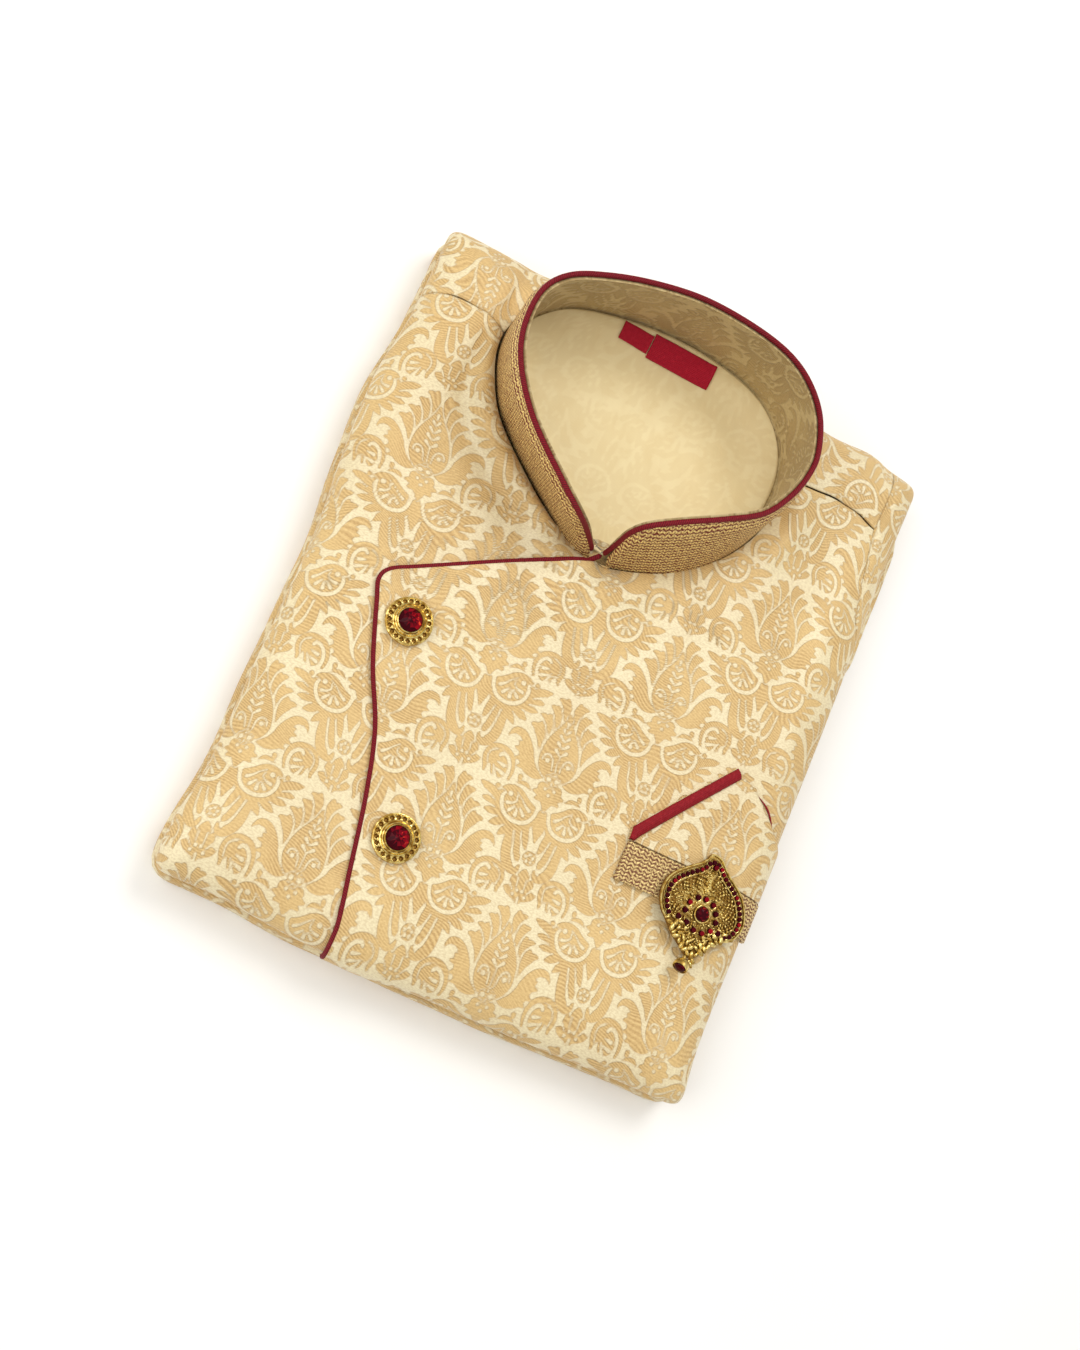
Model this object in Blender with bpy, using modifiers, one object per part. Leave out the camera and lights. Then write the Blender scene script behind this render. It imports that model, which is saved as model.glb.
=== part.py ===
"""A brocade sherwani coat folded flat, with its mandarin collar standing open.

Lengths are in millimetres and become metres where a mesh is made. +X runs across the
folded coat, +Y runs up it to the collar, and +Z points up from the surface it lies on.
A point of the outer cloth is found from its place (a, b) along the cloth: the cloth is
level over the middle of the fold and rolls down round all four folded edges.
"""

import math

import bmesh
import bpy
import numpy as np
from mathutils import Matrix, Vector
from mathutils.bvhtree import BVHTree

MM = 0.001

# The folded coat: where its edges lie, and how far in from each the cloth starts to roll
FOLD_LEFT, FOLD_RIGHT, FOLD_BOTTOM, FOLD_TOP = -130.0, 125.0, -162.0, 160.0
ROLL_LEFT, ROLL_RIGHT, ROLL_BOTTOM, ROLL_TOP = 22.0, 22.0, 26.0, 18.0
PILE_HEIGHT = 35.0
PILE_DOME = 2.5
WIDEST_HEIGHT = 22.0
TUCK_IN, TUCK_DOWN = 7.0, 11.0
TUCK_ANGLE = math.radians(150)
CORNER_POWER = 8
RIM_SHARE = 0.98

# Walls and the gaps between pieces
CLOTH_WALL = 2.0
LINING_WALL = 1.5
GAP = 0.3
LAYER_GAP = 1.6
HOLLOW_GAP = 0.8
OVERLAP_GAP = 0.6
SEAM_HALF = 0.3
RAY_START, RAY_REACH = 12.0, 30.0

# How far the real edges wander from the straight fold: (place along the edge, outwards)
LEFT_WANDER = ((-160, 1.5), (-140, 1.5), (-110, -2.0), (-60, -1.8), (0, -1.5), (40, 2.0),
               (80, 3.8), (110, 0.6), (140, 0.0), (160, 0.3))
RIGHT_WANDER = ((-160, -0.5), (-130, -2.8), (-60, -1.0), (20, 1.0), (60, 1.5), (95, 1.5),
                (125, 2.0), (150, 3.0), (160, 3.5))
BOTTOM_WANDER = ((-130, -2.0), (-100, -2.2), (-60, 1.2), (0, 2.5), (50, 2.4), (90, 1.5),
                 (125, 2.0))
TOP_WANDER = ((-130, 1.0), (-100, 1.2), (-80, 1.0), (-50, 5.0), (-10, 10.0), (30, 6.5),
              (70, -0.8), (95, 0.3), (107, -2.5), (125, -4.5))

# Ridges and troughs of the outer cloth: (x, y) of both ends, height, half width
CLOTH_FOLDS = (((-99, 118), (-76, 76), 2.4, 9.0),
               ((-76, 76), (-34, 40), 3.2, 9.0),
               ((64, 66), (74, 104), 1.6, 9.0),
               ((-88, 150), (-93, 128), -2.2, 6.0),
               ((-60, 20), (-20, -30), 1.2, 22.0),
               ((40, 20), (90, -20), 1.0, 25.0))

# The collar's middle line, from the under end at the front round the back to the upper end:
# (base x, base y, edge x, edge y, height of the edge's piping above the surface)
COLLAR = ((-13.5, 46.5, -15.5, 46.5, 41.5),
          (-21, 47.0, -25, 46.5, 60),
          (-32, 52.5, -34, 46.5, 74),
          (-42, 59.5, -46, 53.0, 79.5),
          (-61, 74.5, -66, 69.5, 80),
          (-74, 87.0, -78, 83.5, 80),
          (-82, 101, -86, 98, 80),
          (-86, 115, -89, 112.5, 80),
          (-85, 130, -87.5, 128, 80),
          (-78, 141, -79.5, 139.5, 80),
          (-65, 151.5, -64.5, 148, 80),
          (-44, 159, -44, 155.5, 80),
          (-20, 163, -20, 160.5, 80),
          (5, 163, 5, 160.5, 80),
          (26, 159, 25, 157, 80),
          (41, 150.5, 39, 149.5, 80),
          (52, 138, 49.5, 137.5, 80),
          (57, 124, 55, 122, 80),
          (57.5, 110, 55, 110, 80),
          (55, 97, 50.5, 96, 80),
          (47.5, 81.5, 42, 83, 80),
          (35.5, 67.5, 27, 72.5, 80),
          (21, 56.5, 9.5, 62, 80),
          (8, 50, -3, 54.5, 77),
          (0, 47, -8, 50.5, 69),
          (-5, 45.5, -8.5, 48, 56),
          (-7, 44.5, -9, 46, 42))
STAND_WALL = 2.5
STAND_SINK = 2.0
BRAID_WALL = 1.2
BRAID_GAP = 0.35
PIPING_RADIUS = 1.6
NECK_EDGE = 3.5
BRAID_FOOT = 1.2
BRAID_HEAD = 2.9
STAND_HEAD = 2.8
INNER_EDGE = 2.2
LINING_DROP = 1.2
BOWL_DEPTH = 7.0
BOWL_SLOPE = 22.0
NECK_STEPS, INSIDE_NECK_STEPS = 120, 90
INSIDE_TRIM, INSIDE_FIRST_CORNER, INSIDE_LAST_CORNER = 2, 29, 56

# The overlap's edge, from the neck down to the bottom fold
OVERLAP = ((-10, 43.5), (-26, 35.5), (-44, 25.5), (-63, 14.5), (-83, 3), (-93, -3), (-96, -9),
           (-93, -18), (-83, -45), (-71, -70), (-63, -98), (-56, -132), (-51.5, -152))
OVERLAP_RIM_X = -49.0
OVERLAP_SHORT = 4.0
UNDERLAP = 10.0
LIFT_FADE = 34.0

# Seams: forward shoulder seams and the armhole on the wearer's left
NECK_FRONT_LEFT, NECK_FRONT_RIGHT = (-21, 47), (-7, 44.5)
NECK_LEFT, NECK_RIGHT = (-90, 122.5), (60, 123)
SHOULDER_SEAM_LEFT = ((-121, 126.5), (-102, 126))
SEAM_RIM_LEFT = 118.0
SHOULDER_SEAM_RIGHT = ((71, 124), (84, 126), (97, 125.5), (111, 121.5))
ARMHOLE = ((112, 150), (112, 138), (111, 121.5), (114, 100), (119, 78))
ARMHOLE_FOOT = 50.0
ARMHOLE_FOOT_WIDTH = 3.0
SIDE_STEP = 6.0

# Pocket, pocket square and labels
WELT_LEFT, WELT_BOTTOM, WELT_TOP = 52.5, -83.5, -66.0
WELT_WALL = 1.5
SQUARE_WALL = 1.0
SQUARE_CORNER = (53.0, -65.0)
SQUARE_PEAK = (90.5, -15.5)
SQUARE_RIGHT = ((99.5, -21.5), (115, -34))
SQUARE_SIDE = -44.0
EDGING_WIDTH, EDGING_WALL = 4.5, 0.8
WELT_SHORT = 10.0
POCKET_GAP = 0.7
LABEL_WALL, LABEL_GAP = 0.6, 0.4
MAIN_LABEL = (-24.0, 9.0, 150.0, 158.0)
CARE_LABEL = (-40.0, -24.6, 151.5, 156.5)

# Buttons: centres, and a turned profile as (radius, height)
BUTTON_CENTRES = ((-76.8, -21.2), (-44.5, -108.9))
BUTTON_PROFILE = ((0, 0), (9.2, 0), (10.4, 0.7), (10.8, 1.8), (10.3, 2.9), (9.3, 3.3), (8.6, 3.9),
                  (7.4, 5.3), (6.6, 6.0), (6.0, 6.4), (5.5, 6.1), (5.45, 4.6), (0, 4.4))
STONE_PROFILE = ((0, 4.8), (5.0, 4.9), (5.05, 6.3), (3.2, 7.6), (0, 8.6))
BUTTON_SIDES, STONE_SIDES = 20, 12
BUTTON_FOOT = 10.0
FOOT_SHARES = (0.4, 0.7, 1.0)

# Brooch: a broad drop of metal, tip up, with a small drop below
BROOCH_CENTRE = (95.0, -82.5)
BROOCH_HALF = ((0, 19.5), (4.5, 15), (10, 11), (16.5, 6.5), (20.5, 1), (20.5, -4.5), (17, -9.5),
               (11, -13), (5.5, -16.5), (0, -19.5))
BROOCH_DOWN = 19.5
BROOCH_TOP = 3.4
BROOCH_BELLY = 3.0
BROOCH_RINGS = ((1.0, 0.0), (1.0, 1.6), (0.92, 2.3), (0.72, 2.8), (0.45, 3.4), (0.16, 3.4))
BROOCH_STEPS = 40
BROOCH_STONE = ((0, 0), (3.2, 0), (3.5, 0.8), (2.6, 2.2), (0, 2.9))
BROOCH_TILT = math.radians(5)
DROP_PROFILE = ((0, 0), (2.6, 0.4), (3.1, 3.0), (2.7, 6.2), (1.4, 8.6), (0, 9.0))
DROP_SIDEWAYS, DROP_GAP, DROP_HEIGHT = -1.0, 0.1, 3.4
DROP_SIDES = 12

# Mesh steps
NECK_ROWS, FRONT_ROWS, YOKE_ROWS = 10, 21, 10
SEAM_STEPS, FRONT_COLUMNS, SLEEVE_COLUMNS = 13, 20, 8
BACK_NECK_STEPS, SHOULDER_STEPS, ARMHOLE_STEPS = 20, 8, 8
LAYER_ROWS, LAYER_COLUMNS = 37, 30
INSIDE_STEPS = 15
POCKET_STEPS, SQUARE_ROWS = 18, 9
ROLL_DENSITY = 3.0
SOLVE_ROUNDS, SOLVE_PACE = 60, 0.8
COLLAR_STEPS, PIPING_STEPS = 54, 64

# Hidden layers below the outer cloth: height, outwards from the folded edge
LAYER_EDGE = ((11.6, -9.0), (11.2, -2.0), (9.4, 1.6), (7.2, 0.8), (6.2, -4.0), (4.8, -0.2),
              (2.8, 1.2), (0.8, -0.6), (0.0, -3.0))
RIGHT_LAYER_OUT = 6.0
RIGHT_LAYER_HEIGHTS = (6.4, 11.5)
RIGHT_LAYER_FROM, RIGHT_LAYER_TO, RIGHT_LAYER_FADE = 40.0, 150.0, 28.0


def clean_scene():
    for thing in list(bpy.data.objects):
        bpy.data.objects.remove(thing, do_unlink=True)


def eased(value):
    """A smooth step from 0 to 1."""
    t = np.clip(value, 0.0, 1.0)
    return t * t * (3.0 - 2.0 * t)


def smooth_line(points, count, rolled=(0, 0)):
    """Points along a Catmull-Rom curve through the given points."""
    p = np.asarray(points, float)
    ends = np.vstack([2 * p[0] - p[1], p, 2 * p[-1] - p[-2]])
    steps = np.linspace(0, 1, 24, endpoint=False)[:, None]
    runs = []
    for i in range(1, len(ends) - 2):
        p0, p1, p2, p3 = ends[i - 1:i + 3]
        runs.append(0.5 * (2 * p1 + (p2 - p0) * steps + (2 * p0 - 5 * p1 + 4 * p2 - p3) * steps**2
                           + (3 * p1 - p0 - 3 * p2 + p3) * steps**3))
    return resample(np.vstack(runs + [p[-1:]]), count, rolled)


def resample(line, count, rolled=(0, 0)):
    """The line in count points, evenly spaced but closer over its rolled first and last part."""
    line = np.asarray(line, float)
    run = np.concatenate([[0], np.cumsum(np.linalg.norm(np.diff(line, axis=0), axis=1))])
    fine = np.linspace(0, run[-1], 400)
    density = np.where((fine < rolled[0]) | (fine > run[-1] - rolled[1]), ROLL_DENSITY, 1.0)
    used = np.concatenate([[0], np.cumsum((density[1:] + density[:-1]) / 2)])
    wanted = np.interp(np.linspace(0, used[-1], count), used, fine)
    return np.column_stack([np.interp(wanted, run, line[:, k]) for k in range(line.shape[1])])


def moved_sideways(line, distance):
    """A plan line moved to its left by a distance."""
    run = np.gradient(line[:, :2], axis=0)
    run /= np.linalg.norm(run, axis=1)[:, None]
    moved = line.copy()
    moved[:, 0] -= run[:, 1] * distance
    moved[:, 1] += run[:, 0] * distance
    return moved


def distance_to(line, x, y):
    """Plan distance from points to a line of points."""
    flat = np.column_stack([np.ravel(x), np.ravel(y)])
    start, step = line[:-1, :2], np.diff(line[:, :2], axis=0)
    share = ((flat[:, None] - start) * step).sum(2) / np.maximum((step**2).sum(1), 1e-9)
    foot = start + np.clip(share, 0, 1)[:, :, None] * step
    return np.sqrt(((flat[:, None] - foot)**2).sum(2).min(1)).reshape(np.shape(x))


def inside(line, x, y):
    """True where points lie within a closed plan line."""
    hit = np.zeros(np.shape(x), bool)
    x1, y1 = line[:, 0], line[:, 1]
    x2, y2 = np.roll(x1, -1), np.roll(y1, -1)
    for k in range(len(line)):
        crosses = (y1[k] > y) != (y2[k] > y)
        rise = y2[k] - y1[k] if y2[k] != y1[k] else 1e-9
        hit ^= crosses & (x < x1[k] + (y - y1[k]) * (x2[k] - x1[k]) / rise)
    return hit


def wander(table, place):
    columns = np.array(table, float)
    dense = smooth_line(columns, 12 * len(columns))
    return np.interp(place, dense[:, 0], dense[:, 1])


def pile_height(x, y):
    """Height of the outer cloth over the level middle of the fold."""
    middle = (1 - (x / FOLD_LEFT)**2) * (1 - (y / FOLD_BOTTOM)**2)
    z = PILE_HEIGHT + PILE_DOME * np.clip(middle, 0, 1)
    for start, end, height, half_width in CLOTH_FOLDS:
        line = smooth_line((start, end), 12)
        z = z + height * np.exp(-(distance_to(line, x, y) / half_width)**2)
    return z


def roll_angle_table():
    """Angle round a folded edge against the share of cloth used."""
    angles = np.linspace(0, TUCK_ANGLE, 200)
    out, up = roll_shape(angles, ROLL_LEFT, PILE_HEIGHT)
    run = np.concatenate([[0], np.cumsum(np.hypot(np.diff(out), np.diff(up)))])
    return run, angles


def roll_shape(angle, roll, top):
    """Distance out and height at an angle round a folded edge."""
    upper = angle <= math.pi / 2
    out = np.where(upper, roll * np.sin(angle), roll - TUCK_IN * (1 - np.sin(angle)))
    up = np.where(upper, WIDEST_HEIGHT + (top - WIDEST_HEIGHT) * np.cos(angle),
                  WIDEST_HEIGHT + TUCK_DOWN * np.cos(angle))
    return out, up


ROLL_RUN, ROLL_ANGLES = roll_angle_table()
ROLL_CLOTH = ROLL_RUN[-1]
RIM_LEFT = FOLD_LEFT + ROLL_LEFT - ROLL_CLOTH
RIM_RIGHT = FOLD_RIGHT - ROLL_RIGHT + ROLL_CLOTH
RIM_BOTTOM = FOLD_BOTTOM + ROLL_BOTTOM - ROLL_CLOTH
RIM_TOP = FOLD_TOP - ROLL_TOP + ROLL_CLOTH


def roll_share(a, b):
    """The level place nearest a place on the cloth, and its share of each roll used."""
    flat_x = np.clip(a, FOLD_LEFT + ROLL_LEFT, FOLD_RIGHT - ROLL_RIGHT)
    flat_y = np.clip(b, FOLD_BOTTOM + ROLL_BOTTOM, FOLD_TOP - ROLL_TOP)
    over_x, over_y = (a - flat_x) / ROLL_CLOTH, (b - flat_y) / ROLL_CLOTH
    over = (np.abs(over_x)**CORNER_POWER + np.abs(over_y)**CORNER_POWER)**(1 / CORNER_POWER)
    return flat_x, flat_y, over_x, over_y, np.maximum(over, 1e-9)


def cloth_point(a, b):
    """The outer cloth's surface at a place along the cloth."""
    flat_x, flat_y, over_x, over_y, over = roll_share(a, b)
    angle = np.interp(np.minimum(over, 1) * ROLL_CLOTH, ROLL_RUN, ROLL_ANGLES)
    roll_x = np.where(over_x < 0, ROLL_LEFT, ROLL_RIGHT)
    roll_y = np.where(over_y < 0, ROLL_BOTTOM, ROLL_TOP)
    x = flat_x + over_x / over * roll_shape(angle, roll_x, PILE_HEIGHT)[0]
    y = flat_y + over_y / over * roll_shape(angle, roll_y, PILE_HEIGHT)[0]
    z = roll_shape(angle, ROLL_LEFT, pile_height(x, y))[1]
    toward_x, toward_y = eased(np.abs(x) / FOLD_RIGHT), eased(np.abs(y) / FOLD_TOP)
    side = np.where(x < 0, -wander(LEFT_WANDER, y), wander(RIGHT_WANDER, y))
    end = np.where(y < 0, -wander(BOTTOM_WANDER, x), wander(TOP_WANDER, x))
    return np.stack([x + side * toward_x, y + end * toward_y, z], axis=-1)


def cloth_normal(a, b, step=0.4):
    """The cloth's outward direction, read just inside the rim where a place lies on it."""
    flat_x, flat_y, over_x, over_y, over = roll_share(a, b)
    within = np.minimum(1, RIM_SHARE / over) * ROLL_CLOTH
    a, b = flat_x + over_x * within, flat_y + over_y * within
    along = cloth_point(a + step, b) - cloth_point(a - step, b)
    up = cloth_point(a, b + step) - cloth_point(a, b - step)
    normal = np.cross(along, up)
    return normal / np.linalg.norm(normal, axis=-1)[..., None]


def cloth_place(points):
    """The place along the cloth of points given in plan."""
    wanted = np.asarray(points, float)[:, :2]
    place = wanted.copy()
    for _ in range(SOLVE_ROUNDS):
        place += SOLVE_PACE * (wanted - cloth_point(place[:, 0], place[:, 1])[:, :2])
    return place


def patch(left, right, bottom, top):
    """A grid of cloth places filling four border lines, rows from bottom to top."""
    rows, columns = len(left), len(bottom)
    v, u = np.meshgrid(np.linspace(0, 1, rows), np.linspace(0, 1, columns), indexing="ij")
    u, v = u[..., None], v[..., None]
    across = (1 - u) * left[:, None] + u * right[:, None]
    along = (1 - v) * bottom[None] + v * top[None]
    corners = ((1 - u) * (1 - v) * bottom[0] + u * (1 - v) * bottom[-1]
               + (1 - u) * v * top[0] + u * v * top[-1])
    return across + along - corners


def lifted(places, lift):
    """Outer cloth at a grid of places, moved out by a lift."""
    a, b = places[..., 0], places[..., 1]
    return cloth_point(a, b) + cloth_normal(a, b) * np.asarray(lift)[..., None]


def material(name, colour, roughness, metallic=0.0):
    made = bpy.data.materials.get(name)
    if made:
        return made
    made = bpy.data.materials.new(name)
    made.use_nodes = True
    shader = made.node_tree.nodes["Principled BSDF"]
    shader.inputs["Base Color"].default_value = (*colour, 1.0)
    shader.inputs["Roughness"].default_value = roughness
    shader.inputs["Metallic"].default_value = metallic
    return made


def brocade():
    return material("brocade", (0.80, 0.60, 0.33), 0.6)


def brocade_reverse():
    return material("brocade_reverse", (0.62, 0.46, 0.22), 0.7)


def plain_lining():
    return material("plain_lining", (0.84, 0.69, 0.38), 0.7)


def braid():
    return material("braid", (0.48, 0.27, 0.12), 0.55)


def maroon_cord():
    return material("maroon_cord", (0.27, 0.015, 0.03), 0.55)


def maroon_weave():
    return material("maroon_weave", (0.40, 0.01, 0.03), 0.6)


def gilt_metal():
    return material("gilt_metal", (0.62, 0.46, 0.12), 0.35, 1.0)


def red_stone():
    return material("red_stone", (0.30, 0.0, 0.01), 0.1)


def place_mesh(name, vertices, faces, look, smooth_angle=40):
    mesh = bpy.data.meshes.new(name)
    mesh.from_pydata([tuple(v) for v in np.asarray(vertices) * MM], [], faces)
    mesh.materials.append(look)
    mesh.shade_smooth()
    mesh.set_sharp_from_angle(angle=math.radians(smooth_angle))
    made = bpy.data.objects.new(name, mesh)
    bpy.data.collections["sherwani_coat"].objects.link(made)
    return made


def grid_faces(rows, columns, first=0):
    return [(first + i * columns + j, first + i * columns + j + 1,
             first + (i + 1) * columns + j + 1, first + (i + 1) * columns + j)
            for i in range(rows - 1) for j in range(columns - 1)]


def cloth_sheet(name, grid, wall, look):
    """A sheet of cloth whose outer face is a grid of points, with its wall behind it."""
    rows, columns = grid.shape[:2]
    made = place_mesh(name, grid.reshape(-1, 3), grid_faces(rows, columns), look)
    thick = made.modifiers.new("wall", "SOLIDIFY")
    thick.thickness = wall * MM
    thick.offset = -1
    thick.use_even_offset = False
    return made


def round_cord(name, points, radius, look, sides_level=1):
    """A round cord along a line of points, its ends closed."""
    curve = bpy.data.curves.new(name, "CURVE")
    curve.dimensions = "3D"
    curve.bevel_depth = radius * MM
    curve.bevel_resolution = sides_level
    curve.use_fill_caps = True
    spline = curve.splines.new("POLY")
    spline.points.add(len(points) - 1)
    for knot, point in zip(spline.points, np.asarray(points) * MM):
        knot.co = (*point, 1.0)
    tube = bpy.data.objects.new(name + "_line", curve)
    bpy.context.scene.collection.objects.link(tube)
    bpy.context.view_layer.update()
    mesh = bpy.data.meshes.new_from_object(tube.evaluated_get(bpy.context.evaluated_depsgraph_get()))
    bpy.data.objects.remove(tube, do_unlink=True)
    whole = bmesh.new()
    whole.from_mesh(mesh)
    bmesh.ops.remove_doubles(whole, verts=whole.verts, dist=0.00001)
    whole.to_mesh(mesh)
    whole.free()
    mesh.name = name
    mesh.materials.clear()
    mesh.materials.append(look)
    mesh.shade_smooth()
    made = bpy.data.objects.new(name, mesh)
    bpy.data.collections["sherwani_coat"].objects.link(made)
    return made


def turned(name, profile, sides, look, seat):
    """A closed turned solid from a profile that starts and ends on its axis."""
    mesh = bpy.data.meshes.new(name)
    points = [(radius * MM, 0, height * MM) for radius, height in reversed(profile)]
    mesh.from_pydata(points, [(i, i + 1) for i in range(len(points) - 1)], [])
    mesh.materials.append(look)
    made = bpy.data.objects.new(name, mesh)
    bpy.data.collections["sherwani_coat"].objects.link(made)
    spin = made.modifiers.new("turn", "SCREW")
    spin.steps = sides
    spin.render_steps = sides
    spin.use_merge_vertices = True
    spin.merge_threshold = 0.00001
    made.matrix_world = seat
    return made


# ---- lines that several pieces share ----

def collar_curve(count):
    """The collar's middle base line and the line of its edge piping, stations in step."""
    table = np.array(COLLAR, float)
    line = smooth_line(table, count)
    place = cloth_place(line[:, :2])
    base = cloth_point(place[:, 0], place[:, 1])
    return base, line[:, 2:5]


def neck_ring(outwards, count=NECK_STEPS):
    """The neckline in plan, moved out from the collar's middle line, as an open line."""
    base, _ = collar_curve(count)
    return moved_sideways(base[:, :2], outwards)


def neck_depth(x, y):
    """How far points are inside the neck, and 0 outside it."""
    ring = neck_ring(0)
    return np.where(inside(ring, x, y), distance_to(np.vstack([ring, ring[:1]]), x, y), 0.0)


def neck_arc(start, end, count):
    """Cloth places along the neckline between the stations nearest two points."""
    ring = neck_ring(NECK_EDGE)
    first, last = (np.argmin(np.hypot(*(ring - point).T)) for point in (start, end))
    arc = ring[first:last + 1] if first < last else ring[last:first + 1][::-1]
    return cloth_place(resample(arc, count))


def overlap_line(sideways, count):
    """Places along the overlap's edge, moved sideways, from the neck to the bottom rim."""
    plan = smooth_line(OVERLAP, 80)
    places = cloth_place(plan)
    rim = np.linspace(places[-1], (OVERLAP_RIM_X, RIM_BOTTOM + OVERLAP_SHORT), 12)[1:]
    return resample(moved_sideways(np.vstack([places, rim]), sideways), count, (0, ROLL_CLOTH))


def left_seam(neck_end, sideways):
    """Places along the left shoulder seam, from the side rim to the neck."""
    places = np.vstack([(RIM_LEFT, SEAM_RIM_LEFT), cloth_place(SHOULDER_SEAM_LEFT), neck_end])
    return moved_sideways(smooth_line(places, SEAM_STEPS, (ROLL_CLOTH, 0)), sideways)


def right_seam(neck_end, count, sideways):
    """Places along the right shoulder seam, from the neck to the armhole."""
    places = np.vstack([neck_end, cloth_place(SHOULDER_SEAM_RIGHT)])
    return moved_sideways(smooth_line(places, count), sideways)


def below_seam(point):
    return point - (0, SEAM_HALF)


def above_seam(point):
    return point + (0, SEAM_HALF)


def straight(start, end, count, rolled=(0, 0)):
    return resample(np.array([start, end], float), count, rolled)


def joined(*lines):
    kept = [np.asarray(line)[:-1] for line in lines[:-1]]
    return np.vstack(kept + [np.asarray(lines[-1])])


def overlap_lift(places):
    """Lift of the upper front where the lower front lies under it."""
    away = distance_to(overlap_line(0, 60), places[..., 0], places[..., 1])
    return (CLOTH_WALL + OVERLAP_GAP) * (1 - eased((away - UNDERLAP - 2) / LIFT_FADE))


# ---- the cloth pieces ----

def front_right_panel():
    """The lower front, on the left of the fold, reaching a little way under the upper one."""
    arc = neck_arc(NECK_LEFT, NECK_FRONT_LEFT, NECK_ROWS)
    seam = left_seam(arc[0], -SEAM_HALF)
    arc[0] = below_seam(arc[0])
    seam[-1] = arc[0]
    hidden = resample(np.vstack([arc[-1:], overlap_line(UNDERLAP, 60)[2:]]), FRONT_ROWS,
                      (0, ROLL_CLOTH))
    right = joined(arc, hidden)
    corner = (RIM_LEFT, RIM_BOTTOM)
    left = straight(seam[0], corner, len(right), (0, ROLL_CLOTH))
    bottom = straight(corner, right[-1], SEAM_STEPS, (ROLL_CLOTH, 0))
    places = patch(left[::-1], right[::-1], bottom, seam)
    return cloth_sheet("front_right_panel", lifted(places, np.zeros(places.shape[:2])), CLOTH_WALL,
                       brocade())


def armhole_line(sideways, lower):
    """Places along the armhole: from the top rim to the seam's end, or on to the side rim."""
    points = cloth_place(np.array(ARMHOLE, float))
    if not lower:
        start = (points[0, 0], RIM_TOP)
        return moved_sideways(smooth_line(np.vstack([start, points[:3]]), YOKE_ROWS,
                                          (ROLL_CLOTH, 0)), sideways)
    foot = (RIM_RIGHT - ARMHOLE_FOOT_WIDTH, ARMHOLE_FOOT)
    return moved_sideways(smooth_line(np.vstack([points[2:], foot]), ARMHOLE_STEPS), sideways)


def front_left_panel():
    """The upper front, on the right of the fold, from its piped edge to the side fold."""
    arc = neck_arc(NECK_RIGHT, NECK_FRONT_RIGHT, NECK_ROWS)
    top = right_seam(arc[0], FRONT_COLUMNS, -SEAM_HALF)
    arc[0] = below_seam(arc[0])
    armhole = armhole_line(-SEAM_HALF, True)
    armhole[0] = below_seam(armhole[0])
    top[0] = arc[0]
    top[-1] = armhole[0]
    edge = overlap_line(PIPING_RADIUS + OVERLAP_GAP, FRONT_ROWS)
    edge[0] = arc[-1]
    left = joined(arc, edge)
    corner = (RIM_RIGHT, RIM_BOTTOM)
    side = straight((RIM_RIGHT, ARMHOLE_FOOT - SIDE_STEP), corner, len(left) - ARMHOLE_STEPS,
                    (0, ROLL_CLOTH))
    right = np.vstack([armhole, side])
    bottom = straight(left[-1], corner, FRONT_COLUMNS, (0, ROLL_CLOTH))
    places = patch(left[::-1], right[::-1], bottom, top)
    return cloth_sheet("front_left_panel", lifted(places, overlap_lift(places)), CLOTH_WALL,
                       brocade())


def back_yoke():
    """The back where it comes over the top fold to the shoulder seams, round the neck."""
    arc = neck_arc(NECK_LEFT, NECK_RIGHT, BACK_NECK_STEPS)
    seam = left_seam(arc[0], SEAM_HALF)
    far_seam = right_seam(arc[-1], SHOULDER_STEPS, SEAM_HALF)
    arc[0], arc[-1] = above_seam(arc[0]), above_seam(arc[-1])
    right = armhole_line(-SEAM_HALF, False)
    right[-1] = above_seam(right[-1])
    seam[-1] = arc[0]
    far_seam[0] = arc[-1]
    far_seam[-1] = right[-1]
    bottom = joined(seam, arc, far_seam)
    top = np.column_stack([bottom[:, 0], np.full(len(bottom), RIM_TOP)])
    top[-1] = right[0]
    left = straight(bottom[0], top[0], YOKE_ROWS, (0, ROLL_CLOTH))
    places = patch(left, right[::-1], bottom, top)
    return cloth_sheet("back_yoke", lifted(places, np.zeros(places.shape[:2])), CLOTH_WALL,
                       brocade())


def sleeve_left():
    """The head of the wearer's left sleeve, which shows along the side fold."""
    left = joined(armhole_line(SEAM_HALF, False), armhole_line(SEAM_HALF, True))
    corner = np.array([RIM_RIGHT, RIM_TOP])
    top = straight(left[0], corner, SLEEVE_COLUMNS)
    bottom = straight(left[-1], (RIM_RIGHT, left[-1][1]), SLEEVE_COLUMNS)
    right = straight(corner, bottom[-1], len(left), (ROLL_CLOTH, 0))
    places = patch(left[::-1], right[::-1], bottom, top)
    return cloth_sheet("sleeve_left", lifted(places, np.zeros(places.shape[:2])), CLOTH_WALL,
                       brocade())


def bowl(x, y):
    """How far the cloth seen through the neck lies below the outer cloth."""
    return LINING_DROP + BOWL_DEPTH * eased(neck_depth(x, y) / BOWL_SLOPE)


def neck_cloth(x, y, drop):
    place = cloth_place(np.column_stack([x.ravel(), y.ravel()]))
    level = cloth_point(place[:, 0], place[:, 1])[:, 2].reshape(x.shape)
    return np.stack([x, y, level - bowl(x, y) - drop], axis=-1)


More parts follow.
